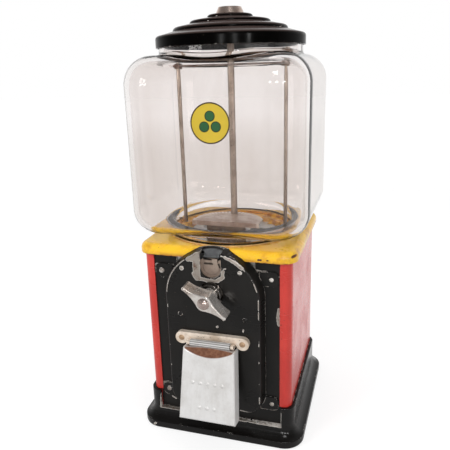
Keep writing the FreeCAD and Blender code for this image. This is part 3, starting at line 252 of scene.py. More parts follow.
def reach(tree, place, axes=(1.0, 1.0, 1.0)):
    """Distance of a place from its origin, along the axes that count."""
    flat = add(tree, "VectorMath", {0: place, 1: axes}, operation="MULTIPLY").outputs[0]
    return add(tree, "VectorMath", {0: flat}, operation="LENGTH").outputs["Value"]


def product(tree, masks):
    """Several masks times each other at each point."""
    found = masks[0]
    for mask in masks[1:]:
        found = calc(tree, "MULTIPLY", found, mask)
    return found


def largest(tree, masks):
    """Highest of several masks at each point."""
    found = masks[0]
    for mask in masks[1:]:
        found = calc(tree, "MAXIMUM", found, mask)
    return found


def edge_mask(tree, width):
    """One along sharp edges and nought on open faces."""
    soft = add(tree, "Bevel", {"Radius": width}, samples=6).outputs[0]
    plain = add(tree, "NewGeometry").outputs["Normal"]
    match = add(tree, "VectorMath", {0: soft, 1: plain}, operation="DOT_PRODUCT").outputs["Value"]
    return fade(tree, match, 0.99, 0.90)


def forward_of(tree, place, depth):
    """One on what stands farther forward than a depth, and nought behind it."""
    return fade(tree, coordinate(tree, place, "Y"), depth + stroke_soft, depth)


def strokes(tree, place, lines, ragged, depth):
    """Ragged strokes forward of a depth, each from one side and height to another, with a half width."""
    pattern = add(tree, "TexNoise", {"Vector": place, "Scale": stroke_cells, "Detail": 5.0}).outputs[1]
    shift = add(tree, "VectorMath", {0: pattern, 1: (0.5, 0.5, 0.5)}, operation="SUBTRACT").outputs[0]
    shift = add(tree, "VectorMath", {0: shift, "Scale": ragged}, operation="SCALE").outputs[0]
    moved = add(tree, "VectorMath", {0: place, 1: shift}, operation="ADD").outputs[0]
    flat = add(tree, "VectorMath", {0: moved, 1: (1.0, 0.0, 1.0)}, operation="MULTIPLY").outputs[0]
    masks = []
    for start, end, half in lines:
        foot = Vector((start[0], 0.0, start[1]))
        run = Vector((end[0], 0.0, end[1])) - foot
        local = add(tree, "VectorMath", {0: flat, 1: foot}, operation="SUBTRACT").outputs[0]
        share = {0: local, 1: run / run.length_squared}
        along = add(tree, "VectorMath", share, operation="DOT_PRODUCT").outputs["Value"]
        along = add(tree, "Clamp", {"Value": along}).outputs[0]
        nearest = add(tree, "VectorMath", {0: run, "Scale": along}, operation="SCALE").outputs[0]
        offset = add(tree, "VectorMath", {0: local, 1: nearest}, operation="SUBTRACT").outputs[0]
        distance = add(tree, "VectorMath", {0: offset}, operation="LENGTH").outputs["Value"]
        masks.append(fade(tree, distance, half + stroke_soft, half - stroke_soft))
    return calc(tree, "MULTIPLY", largest(tree, masks), forward_of(tree, place, depth))


def new_tree(name):
    """Empty material, its node tree and the place of each point in the frame."""
    made = bpy.data.materials.new(name)
    made.use_nodes = True
    made.node_tree.nodes.clear()
    place = add(made.node_tree, "TexCoord").outputs["Object"]
    return made, made.node_tree, place


def shade(tree, inputs, height, bump_strength, bump_depth):
    """Principled shader with a bump, joined to the output."""
    bump = add(tree, "Bump", {"Strength": bump_strength, "Distance": bump_depth, "Height": height})
    shader = add(tree, "BsdfPrincipled", dict(inputs, Normal=bump.outputs[0]))
    add(tree, "OutputMaterial", {"Surface": shader.outputs[0]})


def enamel(name, colour, second, gloss, chips, edge_wear, marks=None, under=BARE_METAL, rim=CHIP_EDGE,
           shine=0.5, top_dust_and_reflection=None, inside=None, darker_orange=None):
    """Worn paint over steel: uneven colour, upward faces paler (dusty, and on the lid a painted reflection),
    a bare inside, darker orange places, specks, chips and marks.
    """
    made, tree, place = new_tree(name)
    clouds = noise(tree, place, paint_clouds, 7.0, 0.6)
    grain = noise(tree, place, paint_grain, 2.0)
    ragged = noise(tree, place, chip_cells, 8.0, 0.68)
    paint = mix(tree, fade(tree, clouds, 0.32, 0.72), colour, second)
    upward = coordinate(tree, add(tree, "NewGeometry").outputs["Normal"], "Z")
    # Upward faces paler: dusty, and on the lid a painted reflection
    if top_dust_and_reflection:
        paint = mix(tree, fade(tree, upward, 0.30, 0.97), paint, top_dust_and_reflection)
    if inside:
        paint = mix(tree, fade(tree, upward, -0.30, -0.80), paint, inside)
    # Darker orange places
    if darker_orange:
        paint = mix(tree, darker_orange(tree, place), paint, DARK_ORANGE)
    specks = fade(tree, noise(tree, place, paint_specks, 2.0, 0.4), 0.735, 0.775)
    paint = mix(tree, calc(tree, "MULTIPLY", specks, 0.8), paint, DIRT_AND_SHADE)
    clusters = fade(tree, noise(tree, place, chip_clusters, 3.0), 0.53, 0.64)
    flakes = fade(tree, ragged, 0.75 - 0.1 * chips, 0.79 - 0.1 * chips)
    loose = calc(tree, "MULTIPLY", clusters, flakes)
    breaks = noise(tree, place, edge_chips, 7.0, 0.65)
    broken = fade(tree, breaks, 0.62 - 0.16 * edge_wear, 0.68 - 0.16 * edge_wear)
    masks = [loose, calc(tree, "MULTIPLY", edge_mask(tree, worn_edge), broken)]
    if marks:
        masks.append(marks(tree, place))
    worn = largest(tree, masks)
    bare = fade(tree, worn, 0.05, 0.35)
    core = fade(tree, worn, 0.60, 0.90)
    metal = mix(tree, fade(tree, ragged, 0.48, 0.72), under, RUST)
    finished = mix(tree, bare, paint, mix(tree, core, rim, metal))
    scuffs = noise(tree, stretched(tree, place, (40.0, 40.0, 900.0)), 1.0, 3.0)
    dull = calc(tree, "ADD", gloss, fade(tree, clouds, 0.3, 0.75, 0.0, 0.14))
    dull = calc(tree, "ADD", dull, fade(tree, scuffs, 0.6, 0.75, 0.0, 0.12))
    roughness = calc(tree, "ADD", dull, calc(tree, "MULTIPLY", bare, 0.16))
    raised = calc(tree, "SUBTRACT", 1.0, calc(tree, "MULTIPLY", bare, 0.85))
    height = calc(tree, "ADD", raised, calc(tree, "MULTIPLY", grain, 0.10))
    inputs = {
        "Base Color": finished,
        "Metallic": calc(tree, "MULTIPLY", core, 0.7),
        "Roughness": roughness,
        "Specular IOR Level": shine,
    }
    shade(tree, inputs, height, *paint_relief)
    return made


def worn_metal(name, colour, tarnish, roughness, rust=0.0, streaks=(1.0, 1.0, 1.0), marks=None, bright=1.0,
               grime_and_shade=None, pitted=0.7, painted_glints=None):
    """Bare or plated metal: tarnish, fine streaks, pits, dark dirt and painted shade, painted highlights, and
    rust by share or place, with painted shade where rust fills a hollow.
    """
    made, tree, place = new_tree(name)
    clouds = noise(tree, place, tarnish_clouds, 7.0, 0.65)
    lines = noise(tree, stretched(tree, place, streaks), metal_streaks, 4.0, 0.6)
    pits = fade(tree, noise(tree, place, metal_pits, 3.0, 0.5), 0.66, 0.74)
    base = mix(tree, fade(tree, clouds, 0.38, 0.72), colour, tarnish)
    base = mix(tree, fade(tree, lines, 0.40, 0.72, 0.0, 0.35), base, tarnish)
    base = mix(tree, calc(tree, "MULTIPLY", pits, pitted), base, DIRT_AND_SHADE)
    # Dirt, and painted shade in the coin recess
    if grime_and_shade:
        base = mix(tree, grime_and_shade(tree, place), base, DIRT_AND_SHADE)
    # Painted highlights
    if painted_glints:
        base = mix(tree, painted_glints(tree, place), base, GLINT_COLOUR)
    cells = noise(tree, place, rust_cells, 9.0, 0.7)
    masks = [fade(tree, cells, 0.80 - 0.4 * rust, 0.88 - 0.4 * rust)]
    if marks:
        masks.append(marks(tree, place))
    rusted = largest(tree, masks)
    tones = noise(tree, place, rust_tones, 5.0)
    rust_tone = mix(tree, fade(tree, tones, 0.4, 0.65), RUST, RUST_LIGHT)
    finished = mix(tree, rusted, base, rust_tone)
    uneven = calc(tree, "ADD", roughness, fade(tree, clouds, 0.35, 0.75, 0.0, 0.16))
    uneven = calc(tree, "ADD", uneven, fade(tree, lines, 0.4, 0.7, 0.0, 0.10))
    rough = calc(tree, "ADD", uneven, calc(tree, "MULTIPLY", rusted, 0.35))
    height = calc(tree, "ADD", calc(tree, "MULTIPLY", lines, 0.25), calc(tree, "MULTIPLY", rusted, 0.6))
    height = calc(tree, "SUBTRACT", height, calc(tree, "MULTIPLY", pits, 0.4))
    metallic = calc(tree, "MULTIPLY", calc(tree, "SUBTRACT", 1.0, rusted), bright)
    shade(tree, {"Base Color": finished, "Metallic": metallic, "Roughness": rough}, height, *metal_relief)
    return made


def clear_glass(name):
    """Pressed glass with slow waves and faint smears, darker where it is seen along the wall."""
    made, tree, place = new_tree(name)
    waves = noise(tree, place, glass_waves, 2.0, 0.4)
    smears = noise(tree, stretched(tree, place, glass_smears), 1.0, 7.0, 0.7)
    tint = mix(tree, fade(tree, smears, 0.35, 0.75), GLASS, GLASS_SMEARED)
    along = add(tree, "LayerWeight", {"Blend": 0.5}).outputs["Facing"]
    tint = mix(tree, fade(tree, along, 0.74, 0.99), tint, GLASS_EDGE)
    inputs = {
        "Base Color": tint,
        "Roughness": fade(tree, smears, 0.52, 0.8, 0.0, 0.06),
        "Transmission Weight": 1.0,
        "IOR": glass_ior,
    }
    shade(tree, inputs, waves, *glass_relief)
    return made


def soft_matter(name, colour, second, roughness, scale, streaks=(1.0, 1.0, 1.0)):
    """Dull matter such as rubber, bristle or printed film: two tones and a fine grain."""
    made, tree, place = new_tree(name)
    clouds = noise(tree, place, scale / 8.0, 5.0)
    grain = noise(tree, stretched(tree, place, streaks), scale, 4.0)
    tone = mix(tree, fade(tree, clouds, 0.35, 0.7), colour, second)
    rough = calc(tree, "ADD", roughness, fade(tree, grain, 0.3, 0.7, -0.08, 0.08))
    shade(tree, {"Base Color": tone, "Roughness": rough}, grain, *soft_relief)
    return made


# Chips on the front, each stroke from one side and height to another, with a half width
stroke_soft = 0.0004
cover_strokes = [
    ((-0.0095, 0.1918), (-0.0205, 0.1860), 0.0018),
    ((-0.0132, 0.1890), (-0.0128, 0.1700), 0.0031),
    ((-0.0175, 0.1862), (-0.0140, 0.1860), 0.0022),
    ((-0.0150, 0.1725), (-0.0130, 0.1690), 0.0023),
    ((-0.0120, 0.1686), (-0.0020, 0.1674), 0.0015),
    ((-0.0020, 0.1672), (0.0065, 0.1676), 0.0013),
    ((0.0065, 0.1680), (0.0112, 0.1715), 0.0016),
    ((0.0110, 0.1715), (0.0117, 0.1770), 0.0012),
    ((0.0124, 0.1792), (0.0142, 0.1798), 0.0004),
    ((0.0135, 0.1904), (0.0225, 0.1861), 0.0010),
    ((0.0225, 0.1861), (0.0288, 0.1812), 0.0012),
    ((0.0145, 0.1928), (0.0220, 0.1892), 0.0005),
    ((0.0040, 0.1224), (0.0048, 0.1226), 0.0007),
    ((0.0290, 0.1205), (0.0293, 0.1225), 0.0004),
    ((0.0102, 0.1297), (0.0108, 0.1299), 0.0004),
    ((0.0245, 0.0372), (0.0324, 0.0358), 0.0004),
    ((0.0324, 0.0357), (0.0387, 0.0359), 0.0006),
    ((0.0380, 0.0362), (0.0430, 0.0388), 0.0010),
]
panel_strokes = [
    ((-0.0576, 0.1726), (-0.0543, 0.1729), 0.0015),
    ((-0.0574, 0.1710), (-0.0570, 0.1655), 0.0011),
    ((-0.0555, 0.1712), (-0.0528, 0.1690), 0.0016),
    ((-0.0450, 0.1738), (-0.0410, 0.1742), 0.0005),
    ((0.0587, 0.1390), (0.0577, 0.1315), 0.0011),
    ((0.0577, 0.1315), (0.0588, 0.1240), 0.0013),
    ((0.0385, 0.1750), (0.0533, 0.1741), 0.0004),
    ((0.0533, 0.1741), (0.0587, 0.1706), 0.0004),
    ((-0.0586, 0.0449), (-0.0536, 0.0459), 0.0016),
    ((-0.0582, 0.0440), (-0.0572, 0.0395), 0.0014),
    ((-0.0560, 0.0430), (-0.0555, 0.0410), 0.0010),
    ((-0.0505, 0.0300), (-0.0468, 0.0281), 0.0005),
    ((0.0460, 0.0454), (0.0545, 0.0452), 0.0004),
    ((0.0568, 0.0405), (0.0568, 0.0345), 0.0004),
]
base_strokes = [
    ((-0.0622, 0.0187), (-0.0200, 0.0187), 0.0005),
    ((0.0200, 0.0183), (0.0612, 0.0180), 0.0005),
    ((-0.0622, 0.0190), (-0.0605, 0.0385), 0.0005),
    ((0.0612, 0.0180), (0.0612, 0.0335), 0.0005),
    ((-0.0672, 0.0030), (-0.0652, 0.0050), 0.0008),
]
deck_strokes = [
    ((0.0700, 0.1968), (0.0706, 0.1972), 0.0008),
    ((0.0705, 0.1905), (0.0725, 0.1908), 0.0008),
    ((0.0415, 0.1872), (0.0438, 0.1873), 0.0007),
    ((0.0490, 0.1871), (0.0500, 0.1872), 0.0005),
    ((-0.0122, 0.1962), (-0.0118, 0.1963), 0.0005),
    ((0.0358, 0.1958), (0.0362, 0.1959), 0.0005),
    ((0.0738, 0.1945), (0.0741, 0.1947), 0.0006),
]
# Painted shade in the coin recess: its slit and one edge
coin_shade_strokes = [
    ((-0.0062, 0.1820), (0.0008, 0.1822), 0.0010),
    ((0.0066, 0.1818), (0.0078, 0.1790), 0.0008),
]
chip_ragged = 0.0016
deck_ragged = 0.0012
line_ragged = 0.0008

# Marks lie forward of the front depth, or within one layer of a piece's own front
front_depth = -0.055
front_layer = 0.003
cover_low, cover_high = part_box("mech_cover")
deck_low, deck_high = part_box("deck")
gasket_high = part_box("globe_gasket")[1]
guard_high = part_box("gum_guard")[1]
globe_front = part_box("globe")[0].y
carrier_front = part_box("coin_carrier")[0].y
pin_low, pin_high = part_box("hinge_pin")
hinge = (pin_low + pin_high) / 2

# Bare tops of the rivet heads, and the height on the cover that they start from
head_bare = 0.0004
bare_heads_from = 0.15

# Bright line of worn paint and painted highlight along the cover's arched edge, and the one around its foot
cover_half = 0.0463
highlight_inset = 0.0032
highlight_half = 0.00032
highlight_heights = (0.10, 0.17)
highlight_sides = (-0.02, 0.02)
foot_highlight_depth = 0.0008
foot_highlight_spread = 0.0006

# Darker orange on the deck
darker_orange_rise = 0.0036
darker_orange_reach = 0.0050
darker_orange_inwards = 0.0070

# Scalloped edge of the gum guard, and the painted highlights along it
guard_radius = 0.0352
guard_rim = 0.0070
guard_lights = 59.0

# Rolled barrel of the flap, and the hollow along its top, filled with rust and painted shade
flap_lean = math.radians(10.1)
barrel_reach = 0.0034
barrel_lines = 11.0
scoop_depth = 0.0064
scoop_down = (0.0030, 0.0126)
scoop_half = 0.0232
scoop_soft_depth = 0.0006
scoop_soft_top = 0.0004
scoop_soft_bottom = 0.0005
scoop_soft_side = 0.0010


def cover_chips_and_highlights(tree, place):
    """Chips of the cover, and broken bright lines of worn paint and painted highlight along its arched front
    edge and its foot.
    """
    depth = cover_low.y + front_layer
    chips = strokes(tree, place, cover_strokes, chip_ragged, depth)
    parts = add(tree, "SeparateXYZ", {0: place}).outputs
    rise = calc(tree, "MAXIMUM", calc(tree, "SUBTRACT", parts["Z"], cover_high.z - cover_half), 0.0)
    flat = add(tree, "CombineXYZ", {"X": parts["X"], "Z": rise}).outputs[0]
    distance = add(tree, "VectorMath", {0: flat}, operation="LENGTH").outputs["Value"]
    low = fade(tree, parts["Z"], *highlight_heights, 0.12, 0.0)
    left = fade(tree, parts["X"], *highlight_sides, 0.04, 0.0)
    breaks = noise(tree, place, cover_highlight_breaks, 5.0, 0.65)
    ragged = calc(tree, "SUBTRACT", breaks, calc(tree, "ADD", low, left))
    broken = fade(tree, ragged, 0.43, 0.50)
    off = calc(tree, "ABSOLUTE", calc(tree, "SUBTRACT", distance, cover_half - highlight_inset))
    edge = fade(tree, off, highlight_half * 1.5, highlight_half * 0.5)
    aside = calc(tree, "ABSOLUTE", calc(tree, "SUBTRACT", distance, cover_half))
    foot = fade(tree, parts["Y"], cover_high.y - foot_highlight_depth, cover_high.y - foot_highlight_depth / 2)
    foot = calc(tree, "MULTIPLY", foot, fade(tree, aside, foot_highlight_spread, foot_highlight_spread / 2))
    lines = calc(tree, "MULTIPLY", calc(tree, "MAXIMUM", edge, foot), broken)
    return calc(tree, "MAXIMUM", chips, lines)


def panel_marks(tree, place):
    """Chips of the front panel."""
    return strokes(tree, place, panel_strokes, chip_ragged, front_depth)


def base_marks(tree, place):
    """Bare lines along the notch of the base, and one chip."""
    broken = fade(tree, noise(tree, place, notch_breaks, 5.0, 0.65), 0.36, 0.46)
    return calc(tree, "MULTIPLY", strokes(tree, place, base_strokes, line_ragged, front_depth), broken)


def deck_marks(tree, place):
    """Dark chips on the front of the deck."""
    return strokes(tree, place, deck_strokes, deck_ragged, front_depth)


def deck_darker_orange(tree, place):
    """Darker orange along the foot of the deck's skirt, in patches at its outer edges, and around the globe's
    gasket.
    """
    parts = add(tree, "SeparateXYZ", {0: place}).outputs
    distance = reach(tree, place, (1.0, 1.0, 0.0))
    foot = fade(tree, parts["Z"], deck_low.z + darker_orange_rise, deck_low.z)
    ring = fade(tree, distance, gasket_high.x + darker_orange_reach, gasket_high.x)
    out = calc(tree, "MAXIMUM", calc(tree, "ABSOLUTE", parts["X"]), calc(tree, "ABSOLUTE", parts["Y"]))
    patches = fade(tree, noise(tree, place, darker_orange_patches, 4.0), 0.46, 0.60)
    border = fade(tree, out, deck_high.x - darker_orange_inwards, deck_high.x, 0.0, 0.8)
    edge = calc(tree, "MULTIPLY", border, patches)
    uneven = fade(tree, noise(tree, place, darker_orange_cells, 6.0, 0.65), 0.30, 0.62)
    return calc(tree, "MULTIPLY", largest(tree, [foot, ring, edge]), uneven)


def worn_tops(node, lowest):
    """Marks for the tops of small heads that have lost their paint, from a height up."""
    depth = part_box(node)[0].y + head_bare

    def marks(tree, place):
        """Tops of the heads, uneven from one to the next."""
        uneven = fade(tree, noise(tree, place, head_cells, 3.0), 0.36, 0.52)
        high = fade(tree, coordinate(tree, place, "Z"), lowest, lowest + front_layer)
        return product(tree, [forward_of(tree, place, depth), uneven, high])

    return marks


def coin_painted_shade(tree, place):
    """Painted shade: dark slit and edge in the coin recess."""
    return strokes(tree, place, coin_shade_strokes, line_ragged, carrier_front + front_layer)


def guard_painted_glints(tree, place):
    """Painted highlights: bright spots along the scalloped edge of the gum guard."""
    centre = (0.0, guard_high.y - guard_radius, guard_high.z)
    local = seen_from(tree, place, centre)
    turn = calc(tree, "ARCTAN2", coordinate(tree, local, "X"), coordinate(tree, local, "Y"))
    spots = fade(tree, calc(tree, "SINE", calc(tree, "MULTIPLY", turn, guard_lights)), 0.0, 0.6)
    distance = reach(tree, local, (1.0, 1.0, 0.0))
    rim = fade(tree, distance, guard_radius - guard_rim, guard_radius - guard_rim / 2)
    return calc(tree, "MULTIPLY", rim, spots)


def barrel_grime(tree, place):
    """Dark lines along the flap's rolled barrel."""
    local = seen_from(tree, place, hinge)
    turn = calc(tree, "ARCTAN2", coordinate(tree, local, "Z"), coordinate(tree, local, "Y"))
    lines = fade(tree, calc(tree, "SINE", calc(tree, "MULTIPLY", turn, barrel_lines)), 0.0, 0.9, 0.1, 0.8)
    barrel = fade(tree, reach(tree, local, (0.0, 1.0, 1.0)), barrel_reach + stroke_soft, barrel_reach)
    return calc(tree, "MULTIPLY", barrel, lines)


def scoop_rust_and_shade(tree, place):
    """Mask of rust and painted shade in the hollow along the flap's top, measured from the hinge outwards and
    down the face.
    """
    local = seen_from(tree, place, hinge)
    outwards = (0.0, -math.cos(flap_lean), math.sin(flap_lean))
    downwards = (0.0, -math.sin(flap_lean), -math.cos(flap_lean))
    out = add(tree, "VectorMath", {0: local, 1: outwards}, operation="DOT_PRODUCT").outputs["Value"]
    down = add(tree, "VectorMath", {0: local, 1: downwards}, operation="DOT_PRODUCT").outputs["Value"]
    side = calc(tree, "ABSOLUTE", coordinate(tree, local, "X"))
    top, bottom = scoop_down
    return product(tree, [
        fade(tree, out, scoop_depth, scoop_depth - scoop_soft_depth),
        fade(tree, down, top - scoop_soft_top, top + scoop_soft_top),
        fade(tree, down, bottom + scoop_soft_bottom, bottom - scoop_soft_bottom),
        fade(tree, side, scoop_half, scoop_half - scoop_soft_side),
    ])


MATERIALS = {
    "base": enamel("base_enamel", BASE_BLACK, BASE_DULL, 0.17, 0.4, 0.55, base_marks, shine=0.25),
    # Cover: chips, and bright edge lines of worn paint and painted highlight
    "cover": enamel("cover_enamel", BLACK, BLACK_DULL, 0.24, 0.35, 0.85, cover_chips_and_highlights, shine=0.2),
    "panel": enamel("panel_enamel", BLACK, BLACK_DULL, 0.30, 0.35, 0.5, panel_marks, shine=0.2),
    "cover_head": enamel("cover_rivet_enamel", BLACK, BLACK_DULL, 0.30, 0.3, 0.4,
                         worn_tops("cover_rivets", bare_heads_from), shine=0.2),
    "panel_head": enamel("panel_rivet_enamel", BLACK, BLACK_DULL, 0.30, 0.3, 0.4,
                         worn_tops("panel_rivets", 0.0), shine=0.2),
    # Lid: its paler upward faces are partly dusty, partly painted reflection
    "lid": enamel("lid_enamel", LID_BLACK, LID_DULL, 0.05, 0.0, 0.05,
                  shine=0.03, top_dust_and_reflection=LID_DUST_AND_REFLECTION, inside=LID_INSIDE),
    "red": enamel("red_enamel", RED, RED_DARK, 0.20, 0.3, 0.4, under=RUST, rim=RUST),
    # Deck: chips, and darker orange at its foot, outer edges and round the gasket
    "yellow": enamel("yellow_enamel", YELLOW, YELLOW_DARK, 0.20, 0.45, 0.55, deck_marks,
                     under=RUST, rim=RUST, darker_orange=deck_darker_orange),
    "chrome": worn_metal("worn_chrome", (0.74, 0.70, 0.66, 1.0), (0.32, 0.26, 0.22, 1.0), 0.12, 0.05,
                         bright=0.72, pitted=0.4),
    # Collar: the handle's chrome painted darker, a painted dark reflection and shade
    "chrome_painted_shade": worn_metal("chrome_painted_shade", (0.16, 0.15, 0.14, 1.0), (0.06, 0.05, 0.04, 1.0), 0.10, 0.02,
                              pitted=0.3),
    # Cap: a browner, darker copy of the chrome, for painted reflection and shade
    "cap": worn_metal("cap_painted_reflection", (0.52, 0.43, 0.39, 1.0), (0.22, 0.15, 0.13, 1.0), 0.18, 0.08,
                      bright=0.85, pitted=0.5),
    # Flap: rust and painted shade fill the hollow along its top
    "flap": worn_metal("plated_flap", (0.74, 0.73, 0.72, 1.0), (0.60, 0.58, 0.56, 1.0), 0.32, 0.0,
                       streaks=(1.0, 1.0, 0.06), marks=scoop_rust_and_shade, bright=0.25, grime_and_shade=barrel_grime,
                       pitted=0.15),
    "nickel": worn_metal("aged_nickel", (0.94, 0.82, 0.70, 1.0), (0.56, 0.44, 0.33, 1.0), 0.34, 0.14,
                         bright=0.45, pitted=0.85),
    "screw": worn_metal("rusty_screw", (0.52, 0.38, 0.25, 1.0), (0.34, 0.18, 0.09, 1.0), 0.42, 0.35,
                        bright=0.5),
    "rods": worn_metal("rod_steel", (0.36, 0.30, 0.25, 1.0), (0.20, 0.15, 0.12, 1.0), 0.30, 0.22,
                       streaks=(1.0, 1.0, 0.05)),
    "rust": worn_metal("rusty_steel", (0.26, 0.19, 0.15, 1.0), (0.15, 0.09, 0.06, 1.0), 0.5, 0.70),
    "zinc": worn_metal("zinc_steel", (0.52, 0.52, 0.51, 1.0), (0.36, 0.35, 0.33, 1.0), 0.36, 0.08),
    "lock": worn_metal("aged_lock_steel", (0.80, 0.65, 0.57, 1.0), (0.30, 0.18, 0.13, 1.0), 0.22, 0.20),
    # Coin disc: painted shade in its slit and at one edge
    "coin": worn_metal("tarnished_coin_disc", (0.46, 0.37, 0.30, 1.0), (0.28, 0.21, 0.17, 1.0), 0.38, 0.12,
                       bright=0.6, grime_and_shade=coin_painted_shade),
    "entry": worn_metal("entry_steel", (0.17, 0.18, 0.185, 1.0), (0.10, 0.105, 0.11, 1.0), 0.30, 0.05,
                        bright=0.6),
    "aluminium": worn_metal("cast_aluminium", (0.60, 0.60, 0.59, 1.0), (0.44, 0.43, 0.42, 1.0), 0.42, 0.03),
    "brass": worn_metal("aged_brass", (0.62, 0.46, 0.20, 1.0), (0.36, 0.24, 0.10, 1.0), 0.30, 0.03),
    "tin": worn_metal("aged_tinplate", TIN, TIN_DARK, 0.34, 0.16, bright=0.7),
    # Gum guard: painted highlights along its scalloped edge
    "guard": worn_metal("guard_tinplate", TIN, TIN_DARK, 0.34, 0.16, bright=0.7, painted_glints=guard_painted_glints),
    "glass": clear_glass("clear_glass"),
    "gum_rubber": soft_matter("gum_rubber", (0.620, 0.410, 0.170, 1.0), (0.500, 0.320, 0.130, 1.0),
                              0.65, 900.0),
    "rubber": soft_matter("brown_rubber", (0.150, 0.105, 0.070, 1.0), (0.110, 0.075, 0.050, 1.0),
                          0.70, 900.0),
    "bristle": soft_matter("brown_bristle", (0.200, 0.130, 0.080, 1.0), (0.120, 0.076, 0.046, 1.0),
                           0.6, 1500.0, (1.0, 1.0, 0.05)),
    "film": soft_matter("yellow_film", (0.610, 0.435, 0.030, 1.0), (0.570, 0.405, 0.027, 1.0),
                        0.40, 500.0),
    "ink": soft_matter("brown_ink", (0.040, 0.020, 0.004, 1.0), (0.052, 0.028, 0.006, 1.0), 0.45, 700.0),
    "green": soft_matter("green_ink", (0.012, 0.095, 0.026, 1.0), (0.010, 0.080, 0.022, 1.0), 0.45, 700.0),
    "green_dark": soft_matter("dark_green_ink", (0.012, 0.026, 0.005, 1.0), (0.016, 0.032, 0.006, 1.0),
                              0.45, 700.0),
}

FINISHES = {
    "base": ["base_skirt"],
    "cover": ["mech_cover"],
    "panel": ["front_panel"],
    "cover_head": ["cover_rivets"],
    "panel_head": ["panel_rivets"],
    "lid": ["lid"],
    "red": ["cabinet_shell"],
    "yellow": ["deck", "hopper_bowl"],
    "chrome": ["handle"],
    "chrome_painted_shade": ["shaft_collar"],
    "cap": ["handle_cap"],
    "flap": ["flap"],
    "nickel": ["hinge_bracket"],
    "rods": ["centre_rod", "side_rod_left", "side_rod_right", "guard_nut", "coin_shaft", "hinge_pin"],
    "rust": ["crossbar", "side_rod_nuts"],
    "screw": ["bracket_screws"],
    "zinc": ["base_plate", "base_screws", "hopper_bridge", "centre_post", "bridge_nut", "drop_plate",
             "drop_tube", "delivery_chute", "mech_plate", "mech_posts", "ratchet_wheel", "pawl", "pawl_pin",
             "pawl_spring"],
    "lock": ["lock_collar", "lock_nut", "lock_plug"],
    "coin": ["coin_carrier"],
    "entry": ["coin_entry"],
    "aluminium": ["gum_wheel", "crown_gear"],
    "brass": ["thrust_washer", "pinion", "shaft_bush"],
    "tin": ["cash_tray"],
    "guard": ["gum_guard"],
    "glass": ["globe"],
    "gum_rubber": ["globe_gasket"],
    "rubber": ["lid_gasket"],
}

for finish, names in FINISHES.items():
    for name in names:
        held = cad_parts[name].data.materials
        held.clear()
        held.append(MATERIALS[finish])


def solid(name, build, finish, body):
    """New piece from a function that fills an empty mesh, riding on a body."""
    shape = bmesh.new()
    build(shape)
    bmesh.ops.recalc_face_normals(shape, faces=shape.faces)
    mesh = bpy.data.meshes.new(name)
    shape.to_mesh(mesh)
    shape.free()
    mesh.materials.append(MATERIALS[finish])
    piece = bpy.data.objects.new(name, mesh)
    bpy.context.scene.collection.objects.link(piece)
    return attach(piece, body)


def slab(shape, outline, back, depth):
    """Flat slab of an upright outline, standing forward of a depth."""
    rows = []
    for y in (back, back - depth):
        rows.append([shape.verts.new((x, y, z)) for x, z in outline])
    shape.faces.new(rows[0])
    shape.faces.new(list(reversed(rows[1])))
    count = len(outline)
    for i in range(count):
        after = (i + 1) % count
        shape.faces.new((rows[0][i], rows[0][after], rows[1][after], rows[1][i]))


def arc(radius, start, end, steps):
    """Points on a circle about the origin, from one angle to another."""
    angles = [start + (end - start) * i / steps for i in range(steps + 1)]
    return [(radius * math.cos(a), radius * math.sin(a)) for a in angles]


def shifted(points, side, rise):
    """Points moved to their place on the globe."""
    return [(label_side + side + x, label_height + rise + z) for x, z in points]


def disc(shape, radius, side, rise, back, depth):
    """Flat round slab on the label."""
    slab(shape, shifted(arc(radius, 0.0, 2 * math.pi, disc_steps)[:-1], side, rise), back, depth)


# Round label on the front of the globe, with plain balls
film_front = globe_front - label_film
ring_front = film_front - label_layer
ball_places = []
for i in range(ball_count):
    turn = math.pi / 2 + 2 * math.pi * i / ball_count
    ball_places.append((ball_ring * math.cos(turn), ball_ring * math.sin(turn)))


def build_film(shape):
    """Round film on the glass."""
    disc(shape, label_radius, 0.0, 0.0, globe_front, label_film)


def build_border(shape):
    """Dark ring at the film's edge, in short lengths."""
    inner = label_radius - label_border
    for i in range(border_lengths):
        start = 2 * math.pi * i / border_lengths
        end = 2 * math.pi * (i + 1) / border_lengths
        outline = arc(label_radius, start, end, 2) + list(reversed(arc(inner, start, end, 2)))
        slab(shape, shifted(outline, 0.0, 0.0), film_front, label_layer)


def build_ball_outlines(shape):
    """Dark discs that show as outlines around the balls."""
    for side, rise in ball_places:
        disc(shape, ball_radius, side, rise, film_front, label_layer)


def build_balls(shape):
    """Plain green balls."""
    for side, rise in ball_places:
        disc(shape, ball_radius - ball_outline, side, rise, ring_front, label_layer)


solid("label_film", build_film, "film", "cabinet")
solid("label_border", build_border, "ink", "cabinet")
solid("label_ball_outlines", build_ball_outlines, "green_dark", "cabinet")
solid("label_balls", build_balls, "green", "cabinet")

# Bristles of the sweep brush
brush_low, brush_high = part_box("sweep_brush")


